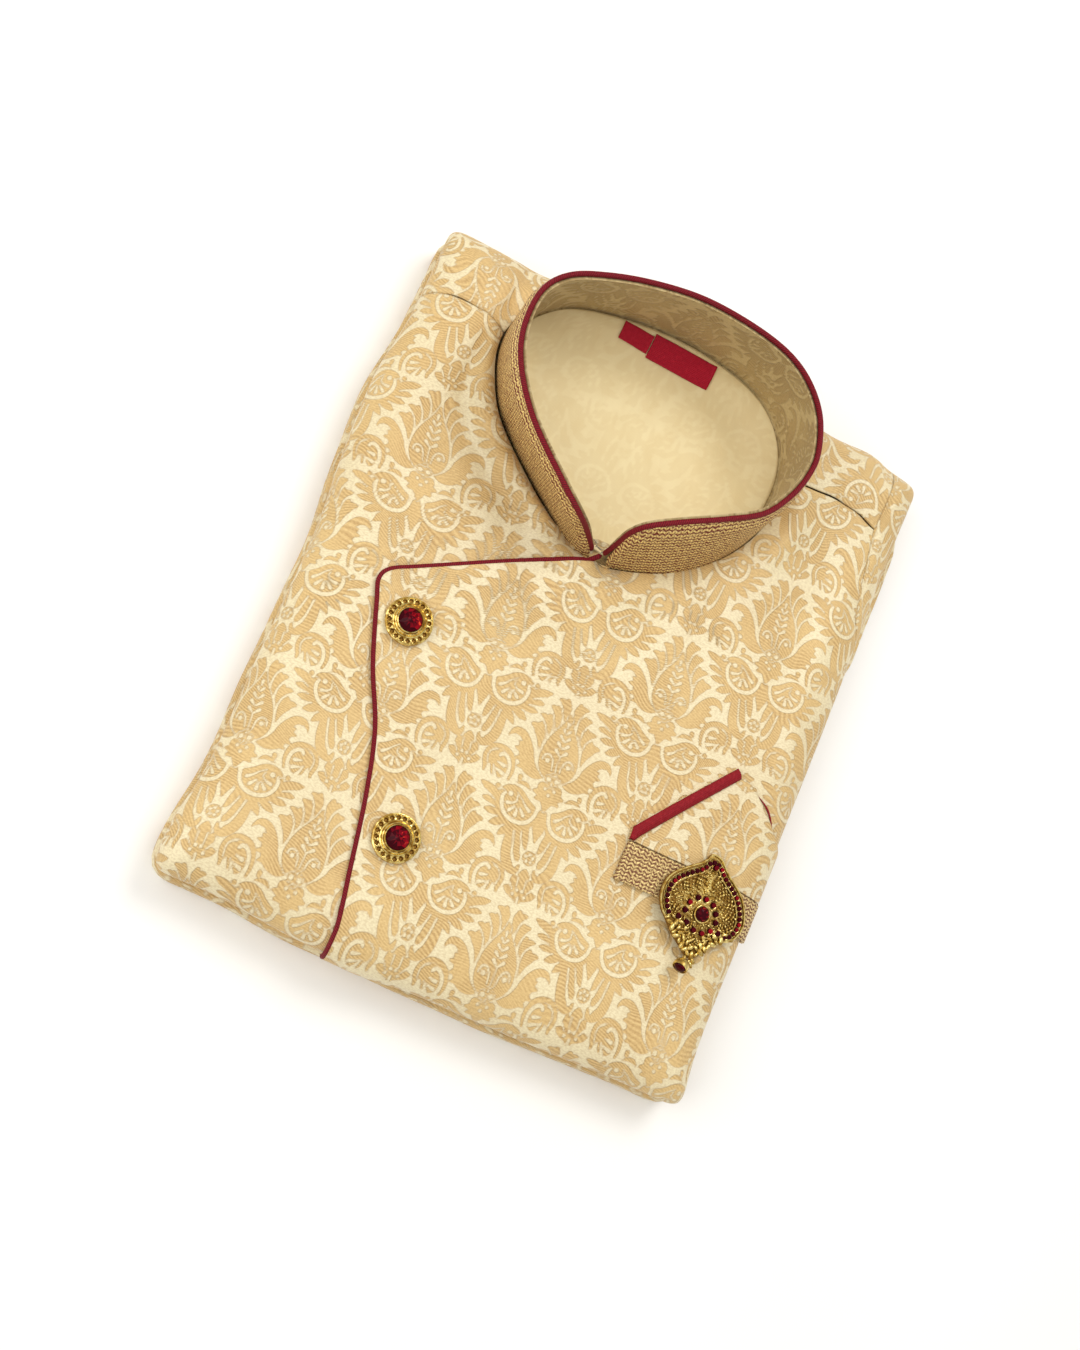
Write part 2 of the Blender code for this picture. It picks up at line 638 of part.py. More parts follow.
def inside_back():
    """The inside of the back, a shallow hollow within the neck."""
    ring = neck_ring(-INNER_EDGE, INSIDE_NECK_STEPS)[INSIDE_TRIM:-INSIDE_TRIM]
    left, right = ring[:INSIDE_FIRST_CORNER + 1], ring[INSIDE_LAST_CORNER:]
    top = ring[INSIDE_FIRST_CORNER:INSIDE_LAST_CORNER + 1]
    left, top, right = (resample(side, INSIDE_STEPS) for side in (left, top, right))
    bottom = straight(left[0], right[-1], INSIDE_STEPS)
    plan = patch(left, right[::-1], bottom, top)
    return cloth_sheet("inside_back", neck_cloth(plan[..., 0], plan[..., 1], 0), LINING_WALL,
                       plain_lining())


def folded_layers():
    """The back, sleeves and skirt folded away below: one rounded solid, layered at its edges."""
    columns, rows = LAYER_COLUMNS, LAYER_ROWS
    rolled = (ROLL_CLOTH, ROLL_CLOTH)
    across = straight((RIM_LEFT, 0), (RIM_RIGHT, 0), columns, rolled)[:, 0]
    along = straight((0, RIM_BOTTOM), (0, RIM_TOP), rows, rolled)[:, 1]
    a, b = np.meshgrid(across, along)
    outer = cloth_point(a, b)
    shell = outer - cloth_normal(a, b) * (CLOTH_WALL + LAYER_GAP)
    in_neck = neck_depth(outer[..., 0], outer[..., 1])
    hollow = outer.copy()
    hollow[..., 2] -= bowl(outer[..., 0], outer[..., 1]) + LINING_WALL + LAYER_GAP + HOLLOW_GAP
    grid = np.where((in_neck > 0)[..., None], hollow, shell)
    points = list(grid.reshape(-1, 3))
    faces = grid_faces(rows, columns)
    knots = np.arange(rows * columns).reshape(rows, columns)
    loop = [*knots[0], *knots[1:, -1], *knots[-1, -2::-1], *knots[-2:0:-1, 0]]
    rim = outer.reshape(-1, 3)[loop][:, :2]
    run = np.roll(rim, -1, axis=0) - np.roll(rim, 1, axis=0)
    outwards = np.column_stack([run[:, 1], -run[:, 0]])
    outwards /= np.linalg.norm(outwards, axis=1)[:, None]
    to_fold = TUCK_IN * (1 - math.sin(TUCK_ANGLE))
    stretch = (eased((rim[:, 1] - RIGHT_LAYER_FROM) / RIGHT_LAYER_FADE)
               * eased((RIGHT_LAYER_TO - rim[:, 1]) / RIGHT_LAYER_FADE)
               * (rim[:, 0] > FOLD_RIGHT - ROLL_RIGHT))
    low, high = RIGHT_LAYER_HEIGHTS
    count = len(loop)
    for height, out in LAYER_EDGE:
        more = RIGHT_LAYER_OUT * stretch * (low < height < high)
        ring = rim + outwards * (to_fold + out + more)[:, None]
        below = list(range(len(points), len(points) + count))
        points += [(x, y, height) for x, y in ring]
        faces += [(loop[(k + 1) % count], loop[k], below[k], below[(k + 1) % count])
                  for k in range(count)]
        loop = below
    faces.append(tuple(reversed(loop)))
    return place_mesh("folded_layers", points, faces, brocade(), 50)


# ---- the collar ----

def collar_wall(outwards, foot, head, count, rows):
    """A grid on the collar, moved out from its middle, from its foot up to below its edge."""
    base, edge = collar_curve(count * 2)
    rise = edge - base
    height = np.linalg.norm(rise, axis=1)
    lean = rise / height[:, None]
    steps = np.linalg.norm(np.diff(base[:, :2], axis=0), axis=1)
    run = np.concatenate([[0], np.cumsum(steps)])
    along, up = np.gradient(run), np.gradient(height)
    size = np.hypot(along, up)
    inner_run = run + up / size * head
    inner_height = height - along / size * head
    keep = np.concatenate([[True], np.diff(np.maximum.accumulate(inner_run)) > 1e-6])
    inner = resample(np.column_stack([inner_run, inner_height])[keep], count)
    at = np.clip(inner[:, 0], 0, run[-1])
    foot_line = np.column_stack([np.interp(at, run, base[:, k]) for k in range(3)])
    lean_line = np.column_stack([np.interp(at, run, lean[:, k]) for k in range(3)])
    top = np.maximum(inner[:, 1], foot + 1.0)
    share = np.linspace(0, 1, rows)[:, None, None]
    reach = foot + (top[None, :, None] - foot) * share
    grid = foot_line[None] + lean_line[None] * reach
    across = np.gradient(foot_line, axis=0)
    normal = np.cross(lean_line, across)
    normal /= np.linalg.norm(normal, axis=1)[:, None]
    return grid + normal[None] * outwards


def collar_stand():
    grid = collar_wall(STAND_WALL / 2, -STAND_SINK, STAND_HEAD, COLLAR_STEPS, 5)
    return cloth_sheet("collar_stand", grid[::-1], STAND_WALL, brocade_reverse())


def collar_braid():
    outer = STAND_WALL / 2 + BRAID_GAP + BRAID_WALL
    grid = collar_wall(outer, BRAID_FOOT, BRAID_HEAD, COLLAR_STEPS, 4)
    return cloth_sheet("collar_braid", grid[::-1], BRAID_WALL, braid())


def collar_piping():
    _, edge = collar_curve(200)
    return round_cord("collar_piping", resample(edge, PIPING_STEPS), PIPING_RADIUS, maroon_cord())


# ---- what lies on the panels ----

def surface_of(piece):
    bpy.context.view_layer.update()
    return BVHTree.FromObject(piece, bpy.context.evaluated_depsgraph_get())


def seated(points, normals, trees, lift):
    """Points dropped along their normals onto the pieces below, then lifted off them."""
    shape = points.shape
    landed = []
    for point, normal in zip(points.reshape(-1, 3), normals.reshape(-1, 3)):
        best = None
        for tree in trees:
            start = Vector((point + normal * RAY_START) * MM)
            hit, _, _, far = tree.ray_cast(start, -Vector(normal), RAY_REACH * MM)
            if hit is not None and (best is None or far < best):
                best = far
        along = RAY_START - best / MM if best is not None else 0.0
        landed.append(point + normal * (along + lift))
    return np.array(landed).reshape(shape)


def on_cloth(places, trees, lift):
    a, b = places[..., 0], places[..., 1]
    return seated(cloth_point(a, b), cloth_normal(a, b), trees, lift)


def front_piping(lower):
    line = overlap_line(0, PIPING_STEPS)[1:-2]
    points = on_cloth(line, [surface_of(lower)], PIPING_RADIUS + OVERLAP_GAP)
    return round_cord("front_piping", points, PIPING_RADIUS, maroon_cord())


def pocket_welt(panel):
    edge = RIM_RIGHT - WELT_SHORT
    end, rolled = straight((0, WELT_BOTTOM), (0, WELT_TOP), 4), (0, ROLL_CLOTH - WELT_SHORT)
    places = patch(end + (WELT_LEFT, 0), end + (edge, 0),
                   straight((WELT_LEFT, WELT_BOTTOM), (edge, WELT_BOTTOM), POCKET_STEPS, rolled),
                   straight((WELT_LEFT, WELT_TOP), (edge, WELT_TOP), POCKET_STEPS, rolled))
    grid = on_cloth(places, [surface_of(panel)], POCKET_GAP + WELT_WALL)
    return cloth_sheet("pocket_welt", grid, WELT_WALL, braid())


def square_places():
    """Places of the pocket square, from just above the welt to its peak and the side fold."""
    low = WELT_TOP + 2 * GAP
    corner, peak, *right = cloth_place(np.array([SQUARE_CORNER, SQUARE_PEAK, *SQUARE_RIGHT], float))
    corner[1] = low
    side = (RIM_RIGHT - WELT_SHORT, SQUARE_SIDE)
    rolled = (0, ROLL_CLOTH - WELT_SHORT)
    top = resample(np.vstack([peak, *right, side]), POCKET_STEPS, rolled)
    bottom = straight(corner, (side[0], low), POCKET_STEPS, rolled)
    return patch(straight(corner, peak, SQUARE_ROWS), straight(bottom[-1], side, SQUARE_ROWS),
                 bottom, top)


def pocket_square(panel):
    grid = on_cloth(square_places(), [surface_of(panel)], POCKET_GAP + SQUARE_WALL)
    return cloth_sheet("pocket_square", grid, SQUARE_WALL, brocade())


def pocket_square_edging(square):
    """The edging stitched along the square's long free side."""
    side = square_places()[:, 0]
    inner, outer = moved_sideways(side, -GAP), moved_sideways(side, -GAP - EDGING_WIDTH)
    share = np.linspace(0, 1, 4)[None, :, None]
    places = inner[:, None] * (1 - share) + outer[:, None] * share
    places[..., 1] = np.maximum(places[..., 1], WELT_TOP + 3 * GAP)
    grid = on_cloth(places, [surface_of(square)], GAP + EDGING_WALL)
    return cloth_sheet("pocket_square_edging", grid, EDGING_WALL, maroon_weave())


def label(name, sides, ground):
    x0, x1, y0, y1 = sides
    x, y = np.meshgrid(np.linspace(x0, x1, 7), np.linspace(y0, y1, 5))
    points = neck_cloth(x, y, 0)
    up = np.zeros_like(points)
    up[..., 2] = 1
    grid = seated(points, up, [surface_of(ground)], LABEL_GAP + LABEL_WALL)
    return cloth_sheet(name, grid, LABEL_WALL, maroon_weave())


def seat_on(centre, foot, trees, lift, tilt=0.0):
    """A frame for a piece that stands clear on the cloth, from the outline of its foot."""
    place = cloth_place(np.array([centre], float))
    middle = cloth_point(place[:, 0], place[:, 1])[0]
    up = Vector(cloth_normal(place[:, 0], place[:, 1])[0])
    turn = Vector((0, 0, 1)).rotation_difference(up).to_matrix() @ Matrix.Rotation(tilt, 3, "Y")
    up = turn @ Vector((0, 0, 1))
    spots = [np.array(turn @ Vector((x * share, y * share, 0))) + middle for x, y in foot
             for share in FOOT_SHARES]
    normals = np.repeat([np.array(up)], len(spots), axis=0)
    landed = seated(np.array(spots), normals, trees, 0)
    highest = ((landed - middle) @ np.array(up)).max()
    return Matrix.Translation((Vector(middle) + up * (highest + lift)) * MM) @ turn.to_4x4()


def button(name, centre, panel):
    turns = np.linspace(0, 2 * math.pi, BUTTON_SIDES)
    foot = [(BUTTON_FOOT * math.cos(t), BUTTON_FOOT * math.sin(t)) for t in turns]
    seat = seat_on(centre, foot, [surface_of(panel)], GAP)
    turned(name, BUTTON_PROFILE, BUTTON_SIDES, gilt_metal(), seat)
    turned(name + "_stone", STONE_PROFILE, STONE_SIDES, red_stone(), seat)


def brooch_outline(count):
    """One closed outline, tip up, from its half width."""
    right = smooth_line(BROOCH_HALF, count // 2 + 1)
    left = right[-2:0:-1] * (-1, 1)
    return np.vstack([right, left])[::-1]


def brooch(grounds):
    outline = brooch_outline(BROOCH_STEPS)
    seat = seat_on(BROOCH_CENTRE, outline, grounds, GAP, BROOCH_TILT)
    points = [(x * share, (y + BROOCH_BELLY) * share - BROOCH_BELLY, z)
              for share, z in BROOCH_RINGS for x, y in outline]
    count, last = len(outline), len(BROOCH_RINGS) - 1
    faces = [(r * count + k, r * count + (k + 1) % count, (r + 1) * count + (k + 1) % count,
              (r + 1) * count + k) for r in range(last) for k in range(count)]
    faces.append(tuple(reversed(range(count))))
    faces.append(tuple(range(last * count, (last + 1) * count)))
    place_mesh("brooch_plate", points, faces, gilt_metal()).matrix_world = seat
    top = Matrix.Translation(Vector((0, -BROOCH_BELLY, BROOCH_TOP + GAP)) * MM)
    turned("brooch_stone", BROOCH_STONE, STONE_SIDES, red_stone(), seat @ top)
    foot = Matrix.Translation(Vector((DROP_SIDEWAYS, -BROOCH_DOWN - DROP_GAP, DROP_HEIGHT)) * MM)
    lying = Matrix.Rotation(math.radians(90), 4, "X")
    turned("brooch_drop", DROP_PROFILE, DROP_SIDES, gilt_metal(), seat @ foot @ lying)


def centre_on_origin():
    """The coat moved so that its box stands centred on the origin."""
    bpy.context.view_layer.update()
    graph = bpy.context.evaluated_depsgraph_get()
    corners = []
    for piece in bpy.data.collections["sherwani_coat"].objects:
        shape = piece.evaluated_get(graph)
        corners += [piece.matrix_world @ Vector(corner) for corner in shape.bound_box]
    low = Vector([min(corner[k] for corner in corners) for k in range(3)])
    high = Vector([max(corner[k] for corner in corners) for k in range(3)])
    shift = Matrix.Translation((-(low.x + high.x) / 2, -(low.y + high.y) / 2, -low.z))
    for piece in bpy.data.collections["sherwani_coat"].objects:
        piece.matrix_world = shift @ piece.matrix_world


def build():
    clean_scene()
    bpy.context.scene.collection.children.link(bpy.data.collections.new("sherwani_coat"))
    folded_layers()
    lower = front_right_panel()
    upper = front_left_panel()
    back_yoke()
    sleeve_left()
    ground = inside_back()
    collar_stand()
    collar_braid()
    collar_piping()
    front_piping(lower)
    welt = pocket_welt(upper)
    square = pocket_square(upper)
    pocket_square_edging(square)
    label("label_main", MAIN_LABEL, ground)
    label("label_care", CARE_LABEL, ground)
    button("button_upper", BUTTON_CENTRES[0], upper)
    button("button_lower", BUTTON_CENTRES[1], upper)
    brooch([surface_of(upper), surface_of(welt), surface_of(square)])
    centre_on_origin()


build()
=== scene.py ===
"""Dresses the folded sherwani coat: brocade, braid, piping, gilt buttons and a brooch.

Lengths are in millimetres and become metres where a mesh is made. +X runs across the
folded coat, +Y runs up it to the collar, and +Z points up from the surface it lies on.
A point of the outer cloth is found from its place (a, b) along the cloth, which is level
over the middle of the fold and rolls down round all four folded edges.
"""

import math

import bmesh
import bpy
import numpy as np
from mathutils import Matrix, Vector
from mathutils.bvhtree import BVHTree


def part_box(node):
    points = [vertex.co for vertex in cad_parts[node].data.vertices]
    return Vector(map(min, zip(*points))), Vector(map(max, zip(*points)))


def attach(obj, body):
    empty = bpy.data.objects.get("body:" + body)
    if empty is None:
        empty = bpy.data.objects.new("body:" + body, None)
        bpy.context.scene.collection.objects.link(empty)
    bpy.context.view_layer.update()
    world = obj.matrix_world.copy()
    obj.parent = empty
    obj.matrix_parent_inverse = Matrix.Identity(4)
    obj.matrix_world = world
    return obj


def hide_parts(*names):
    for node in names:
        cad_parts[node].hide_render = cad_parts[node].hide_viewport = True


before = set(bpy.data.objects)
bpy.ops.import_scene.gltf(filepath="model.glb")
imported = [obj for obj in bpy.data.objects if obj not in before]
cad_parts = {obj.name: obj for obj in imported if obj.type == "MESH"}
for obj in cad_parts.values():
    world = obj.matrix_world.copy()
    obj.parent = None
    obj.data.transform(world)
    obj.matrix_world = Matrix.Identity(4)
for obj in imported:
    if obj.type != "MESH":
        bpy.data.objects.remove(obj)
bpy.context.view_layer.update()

MM = 0.001

# ---- sizes of the fold, as in the solids ----

FOLD_LEFT, FOLD_RIGHT, FOLD_BOTTOM, FOLD_TOP = -130.0, 125.0, -162.0, 160.0
ROLL_LEFT, ROLL_RIGHT, ROLL_BOTTOM, ROLL_TOP = 22.0, 22.0, 26.0, 18.0
PILE_HEIGHT, PILE_DOME, WIDEST_HEIGHT = 35.0, 2.5, 22.0
TUCK_IN, TUCK_DOWN, TUCK_ANGLE = 7.0, 11.0, math.radians(150)
CORNER_POWER, RIM_SHARE = 8, 0.98
CLOTH_WALL, GAP, OVERLAP_GAP, SEAM_HALF = 2.0, 0.3, 0.6, 0.4
RAY_START, RAY_REACH = 12.0, 30.0
ROLL_DENSITY = 3.0
SOLVE_ROUNDS, SOLVE_PACE = 60, 0.8

LEFT_WANDER = ((-160, 1.5), (-140, 1.5), (-110, -2), (-60, -1.8), (0, -1.5), (40, 2),
               (80, 3.8), (110, 0.6), (140, 0), (160, 0.3))
RIGHT_WANDER = ((-160, -0.5), (-130, -2.8), (-60, -1), (20, 1), (60, 1.5), (95, 1.5),
                (125, 2), (150, 3), (160, 3.5))
BOTTOM_WANDER = ((-130, -2), (-100, -2.2), (-60, 1.2), (0, 2.5), (50, 2.4), (90, 1.5),
                 (125, 2))
TOP_WANDER = ((-130, 1), (-100, 1.2), (-80, 1), (-50, 5), (-10, 10), (30, 6.5),
              (70, -0.8), (95, 0.3), (107, -2.5), (125, -4.5))
CLOTH_FOLDS = (((-99, 118), (-76, 76), 2.4, 9),
               ((-76, 76), (-34, 40), 3.2, 9),
               ((64, 66), (74, 104), 1.6, 9),
               ((-88, 150), (-93, 128), -2.2, 6),
               ((-60, 20), (-20, -30), 1.2, 22),
               ((40, 20), (90, -20), 1, 25))

# (base x, base y, edge x, edge y, height of the edge's piping above the surface)
COLLAR = ((-13.5, 46.5, -15.5, 46.5, 41.5),
          (-21, 47, -25, 46.5, 60),
          (-32, 52.5, -34, 46.5, 74),
          (-42, 59.5, -46, 53, 79.5),
          (-61, 74.5, -66, 69.5, 80),
          (-74, 87, -78, 83.5, 80),
          (-82, 101, -86, 98, 80),
          (-86, 115, -89, 112.5, 80),
          (-85, 130, -87.5, 128, 80),
          (-78, 141, -79.5, 139.5, 80),
          (-65, 151.5, -64.5, 148, 80),
          (-44, 159, -44, 155.5, 80),
          (-20, 163, -20, 160.5, 80),
          (5, 163, 5, 160.5, 80),
          (26, 159, 25, 157, 80),
          (41, 150.5, 39, 149.5, 80),
          (52, 138, 49.5, 137.5, 80),
          (57, 124, 55, 122, 80),
          (57.5, 110, 55, 110, 80),
          (55, 97, 50.5, 96, 80),
          (47.5, 81.5, 42, 83, 80),
          (35.5, 67.5, 27, 72.5, 80),
          (21, 56.5, 9.5, 62, 80),
          (8, 50, -3, 54.5, 77),
          (0, 47, -8, 50.5, 69),
          (-5, 45.5, -8.5, 48, 56),
          (-7, 44.5, -9, 46, 42))
STAND_WALL, STAND_SINK = 2.5, 2.0
BRAID_WALL, BRAID_GAP = 1.2, 0.35
BRAID_DROP, BRAID_TOP, BRAID_TUCK, BRAID_LEAN = 4.0, 0.7, 1.6, 9.0
STAND_TOP, STAND_TUCK, STAND_LEAN = 0.9, -0.6, 2.2
BRAID_STEP, BRAID_HEM, STAND_STEP, STAND_HEM = 1.0, 0.8, 1.2, -2.0
PIPING_RADIUS, FRONT_CORD_RADIUS, FRONT_CORD_LIFT = 1.25, 1.2, 0.25
CORD_SHARE_PAST_EDGE = 0.6
PIPING_MEET, PIPING_END = (-0.3, -0.5, -1.4), (0.6, -0.4, -2.6)
NECK_EDGE, INNER_EDGE, LINING_DROP = 3.5, 2.2, 1.2
BOWL_DEPTH, BOWL_SLOPE = 7.0, 22.0
NECK_STEPS, INSIDE_NECK_STEPS = 120, 90
INSIDE_TRIM, INSIDE_FIRST_CORNER, INSIDE_LAST_CORNER = 2, 29, 56
INSIDE_STEP, INSIDE_HEM = 1.6, 1.0

OVERLAP = ((-10, 43.5), (-26, 35.5), (-44, 25.5), (-63, 14.5), (-83, 3), (-93, -3), (-96, -9),
           (-93, -18), (-83, -45), (-71, -70), (-63, -98), (-56, -132), (-51.5, -152))
OVERLAP_RIM_X, OVERLAP_SHORT = -49.0, 4.0
UNDERLAP, LIFT_FADE = np.array((9.0, -7.0)), 34.0
UNDER_NECK = ((-13, 50.5), (-3, 50.5), (2, 45.5))
LIFT_FULL = 12.0

NECK_FRONT_LEFT, NECK_FRONT_RIGHT = (-21, 47), (-7, 44.5)
NECK_LEFT, NECK_RIGHT = (-90, 122.5), (60, 123)
SHOULDER_SEAM_LEFT = ((-121, 126.5), (-102, 126))
SEAM_RIM_LEFT = 118.0
SHOULDER_SEAM_RIGHT = ((71, 124), (84, 126), (97, 125.5), (111, 121.5))
ARMHOLE = ((112, 150), (112, 138), (111, 121.5), (114, 100), (119, 78))
ARMHOLE_FOOT, ARMHOLE_FOOT_WIDTH, SIDE_STEP = 50.0, 3.0, 6.0

WELT_LEFT, WELT_BOTTOM, WELT_TOP = 52.5, -83.5, -66.0
WELT_WALL, SQUARE_WALL = 1.5, 1.0
SQUARE_CORNER, SQUARE_PEAK = (51.3, -60.4), (87.2, -15.8)
SQUARE_RIGHT = ((99.5, -21.5), (115, -34))
SQUARE_SIDE = -44.0
EDGING_INNER_CORNER, EDGING_INNER_PEAK = (55.8, -63.3), (90.5, -19.7)
EDGING_RETURN, EDGING_WALL, EDGING_SWELL, SIDE_EDGE_WALL = 2.6, 0.8, 1.2, 0.3
SIDE_EDGE, SIDE_EDGE_BULGE = ((101.5, -22.5), (109.0, -27.0), (115.5, -34.0)), 0.8
WELT_SHORT, POCKET_GAP = 10.0, 0.7
LABEL_WALL, LABEL_GAP = 0.6, 0.4
MAIN_LABEL = (-24.0, 9.0, 150.0, 158.0)
CARE_LABEL = (-40.0, -24.6, 151.5, 156.5)
LABEL_HANG, LABEL_CUT = 3.6, (0.0, 0.0115)
LABEL_CURL, LABEL_CURL_REACH, LABEL_WAVE, LABEL_WAVES = 0.35, 1.2, 0.25, 5

BUTTON_CENTRES = ((-76.8, -21.2), (-44.5, -108.9))
BUTTON_FOOT, FOOT_POINTS = 10.0, 20
FOOT_SHARES = (0.4, 0.7, 1.0)
BROOCH_CENTRE, BROOCH_TILT = (95.0, -82.5), math.radians(5)

# How many points the lines are drawn with, and the cells of the laid pieces
SHORT_LINE, LINE, LONG_LINE, OVERLAP_LINE = 40, 60, 80, 160
EDGE_LINE, FRONT_CORD_LINE, COLLAR_LINE, COLLAR_CORD_LINE = 300, 420, 600, 620
BEND_FOOT, BEND_SIDE, SIDE_EDGE_LINE, EDGING_CELLS = 10, 50, 30, 8
WELT_CELLS, SQUARE_CELLS, LABEL_CELLS, EDGING_ACROSS = (74, 18), (96, 64), (48, 16), 10
WELD, WELD_MM = 0.00001, 0.0005

# Where the solids' box stands against these sizes, read from the main label
label_low, label_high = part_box("label_main")
FOLD_SHIFT = np.array([(label_low.x + label_high.x) / 2 / MM - (MAIN_LABEL[0] + MAIN_LABEL[1]) / 2,
                       (label_low.y + label_high.y) / 2 / MM - (MAIN_LABEL[2] + MAIN_LABEL[3]) / 2,
                       0.0])


# ---- lines and steps ----

def eased(value):
    """A smooth step from 0 to 1."""
    t = np.clip(value, 0.0, 1.0)
    return t * t * (3.0 - 2.0 * t)


def smooth_line(points, count, rolled=(0, 0)):
    """Points along a Catmull-Rom curve through the given points."""
    p = np.asarray(points, float)
    ends = np.vstack([2 * p[0] - p[1], p, 2 * p[-1] - p[-2]])
    steps = np.linspace(0, 1, 24, endpoint=False)[:, None]
    runs = []
    for i in range(1, len(ends) - 2):
        p0, p1, p2, p3 = ends[i - 1:i + 3]
        runs.append(0.5 * (2 * p1 + (p2 - p0) * steps + (2 * p0 - 5 * p1 + 4 * p2 - p3) * steps**2
                           + (3 * p1 - p0 - 3 * p2 + p3) * steps**3))
    return resample(np.vstack(runs + [p[-1:]]), count, rolled)


def resample(line, count, rolled=(0, 0)):
    """The line in count points, evenly spaced but closer over its rolled first and last part."""
    line = np.asarray(line, float)
    run = np.concatenate([[0], np.cumsum(np.linalg.norm(np.diff(line, axis=0), axis=1))])
    fine = np.linspace(0, run[-1], 2000)
    density = np.where((fine < rolled[0]) | (fine > run[-1] - rolled[1]), ROLL_DENSITY, 1.0)
    spent = np.concatenate([[0], np.cumsum((density[1:] + density[:-1]) / 2)])
    wanted = np.interp(np.linspace(0, spent[-1], count), spent, fine)
    return np.column_stack([np.interp(wanted, run, line[:, k]) for k in range(line.shape[1])])


def moved_sideways(line, distance):
    """A plan line moved to its left by a distance."""
    run = np.gradient(line[:, :2], axis=0)
    run /= np.linalg.norm(run, axis=1)[:, None]
    moved = line.copy()
    moved[:, 0] -= run[:, 1] * distance
    moved[:, 1] += run[:, 0] * distance
    return moved


def distance_to(line, x, y):
    """Plan distance from points to a line of points."""
    flat_x, flat_y = np.ravel(x), np.ravel(y)
    nearest = np.full(flat_x.shape, np.inf)
    for (x0, y0), (x1, y1) in zip(line[:-1, :2], line[1:, :2]):
        step_x, step_y = x1 - x0, y1 - y0
        square = max(step_x**2 + step_y**2, 1e-9)
        share = np.clip(((flat_x - x0) * step_x + (flat_y - y0) * step_y) / square, 0, 1)
        nearest = np.minimum(nearest, (flat_x - x0 - share * step_x)**2
                             + (flat_y - y0 - share * step_y)**2)
    return np.sqrt(nearest).reshape(np.shape(x))


def inside(line, x, y):
    """True where points lie within a closed plan line."""
    hit = np.zeros(np.shape(x), bool)
    x1, y1 = line[:, 0], line[:, 1]
    x2, y2 = np.roll(x1, -1), np.roll(y1, -1)
    for k in range(len(line)):
        crosses = (y1[k] > y) != (y2[k] > y)
        rise = y2[k] - y1[k] if y2[k] != y1[k] else 1e-9
        hit ^= crosses & (x < x1[k] + (y - y1[k]) * (x2[k] - x1[k]) / rise)
    return hit


# ---- the outer cloth ----

def wander(table, place):
    columns = np.array(table, float)
    dense = smooth_line(columns, 12 * len(columns))
    return np.interp(place, dense[:, 0], dense[:, 1])


def pile_height(x, y):
    """Height of the outer cloth over the level middle of the fold."""
    middle = (1 - (x / FOLD_LEFT)**2) * (1 - (y / FOLD_BOTTOM)**2)
    z = PILE_HEIGHT + PILE_DOME * np.clip(middle, 0, 1)
    for start, end, height, half_width in CLOTH_FOLDS:
        line = smooth_line((start, end), 12)
        z = z + height * np.exp(-(distance_to(line, x, y) / half_width)**2)
    return z


def roll_shape(angle, roll, top):
    """Distance out and height at an angle round a folded edge."""
    upper = angle <= math.pi / 2
    out = np.where(upper, roll * np.sin(angle), roll - TUCK_IN * (1 - np.sin(angle)))
    up = np.where(upper, WIDEST_HEIGHT + (top - WIDEST_HEIGHT) * np.cos(angle),
                  WIDEST_HEIGHT + TUCK_DOWN * np.cos(angle))
    return out, up


def roll_angle_table():
    """Angle round a folded edge against the share of cloth used."""
    angles = np.linspace(0, TUCK_ANGLE, 200)
    out, up = roll_shape(angles, ROLL_LEFT, PILE_HEIGHT)
    run = np.concatenate([[0], np.cumsum(np.hypot(np.diff(out), np.diff(up)))])
    return run, angles


ROLL_RUN, ROLL_ANGLES = roll_angle_table()
ROLL_CLOTH = ROLL_RUN[-1]
RIM_LEFT = FOLD_LEFT + ROLL_LEFT - ROLL_CLOTH
RIM_RIGHT = FOLD_RIGHT - ROLL_RIGHT + ROLL_CLOTH
RIM_BOTTOM = FOLD_BOTTOM + ROLL_BOTTOM - ROLL_CLOTH
RIM_TOP = FOLD_TOP - ROLL_TOP + ROLL_CLOTH


def roll_share(a, b):
    """The level place nearest a place on the cloth, and its share of each roll used."""
    flat_x = np.clip(a, FOLD_LEFT + ROLL_LEFT, FOLD_RIGHT - ROLL_RIGHT)
    flat_y = np.clip(b, FOLD_BOTTOM + ROLL_BOTTOM, FOLD_TOP - ROLL_TOP)
    over_x, over_y = (a - flat_x) / ROLL_CLOTH, (b - flat_y) / ROLL_CLOTH
    over = (np.abs(over_x)**CORNER_POWER + np.abs(over_y)**CORNER_POWER)**(1 / CORNER_POWER)
    return flat_x, flat_y, over_x, over_y, np.maximum(over, 1e-9)


def cloth_point(a, b):
    """The outer cloth's surface at a place along the cloth."""
    flat_x, flat_y, over_x, over_y, over = roll_share(a, b)
    angle = np.interp(np.minimum(over, 1) * ROLL_CLOTH, ROLL_RUN, ROLL_ANGLES)
    roll_x = np.where(over_x < 0, ROLL_LEFT, ROLL_RIGHT)
    roll_y = np.where(over_y < 0, ROLL_BOTTOM, ROLL_TOP)
    x = flat_x + over_x / over * roll_shape(angle, roll_x, PILE_HEIGHT)[0]
    y = flat_y + over_y / over * roll_shape(angle, roll_y, PILE_HEIGHT)[0]
    z = roll_shape(angle, ROLL_LEFT, pile_height(x, y))[1]
    toward_x, toward_y = eased(np.abs(x) / FOLD_RIGHT), eased(np.abs(y) / FOLD_TOP)
    side = np.where(x < 0, -wander(LEFT_WANDER, y), wander(RIGHT_WANDER, y))
    end = np.where(y < 0, -wander(BOTTOM_WANDER, x), wander(TOP_WANDER, x))
    return np.stack([x + side * toward_x, y + end * toward_y, z], axis=-1)


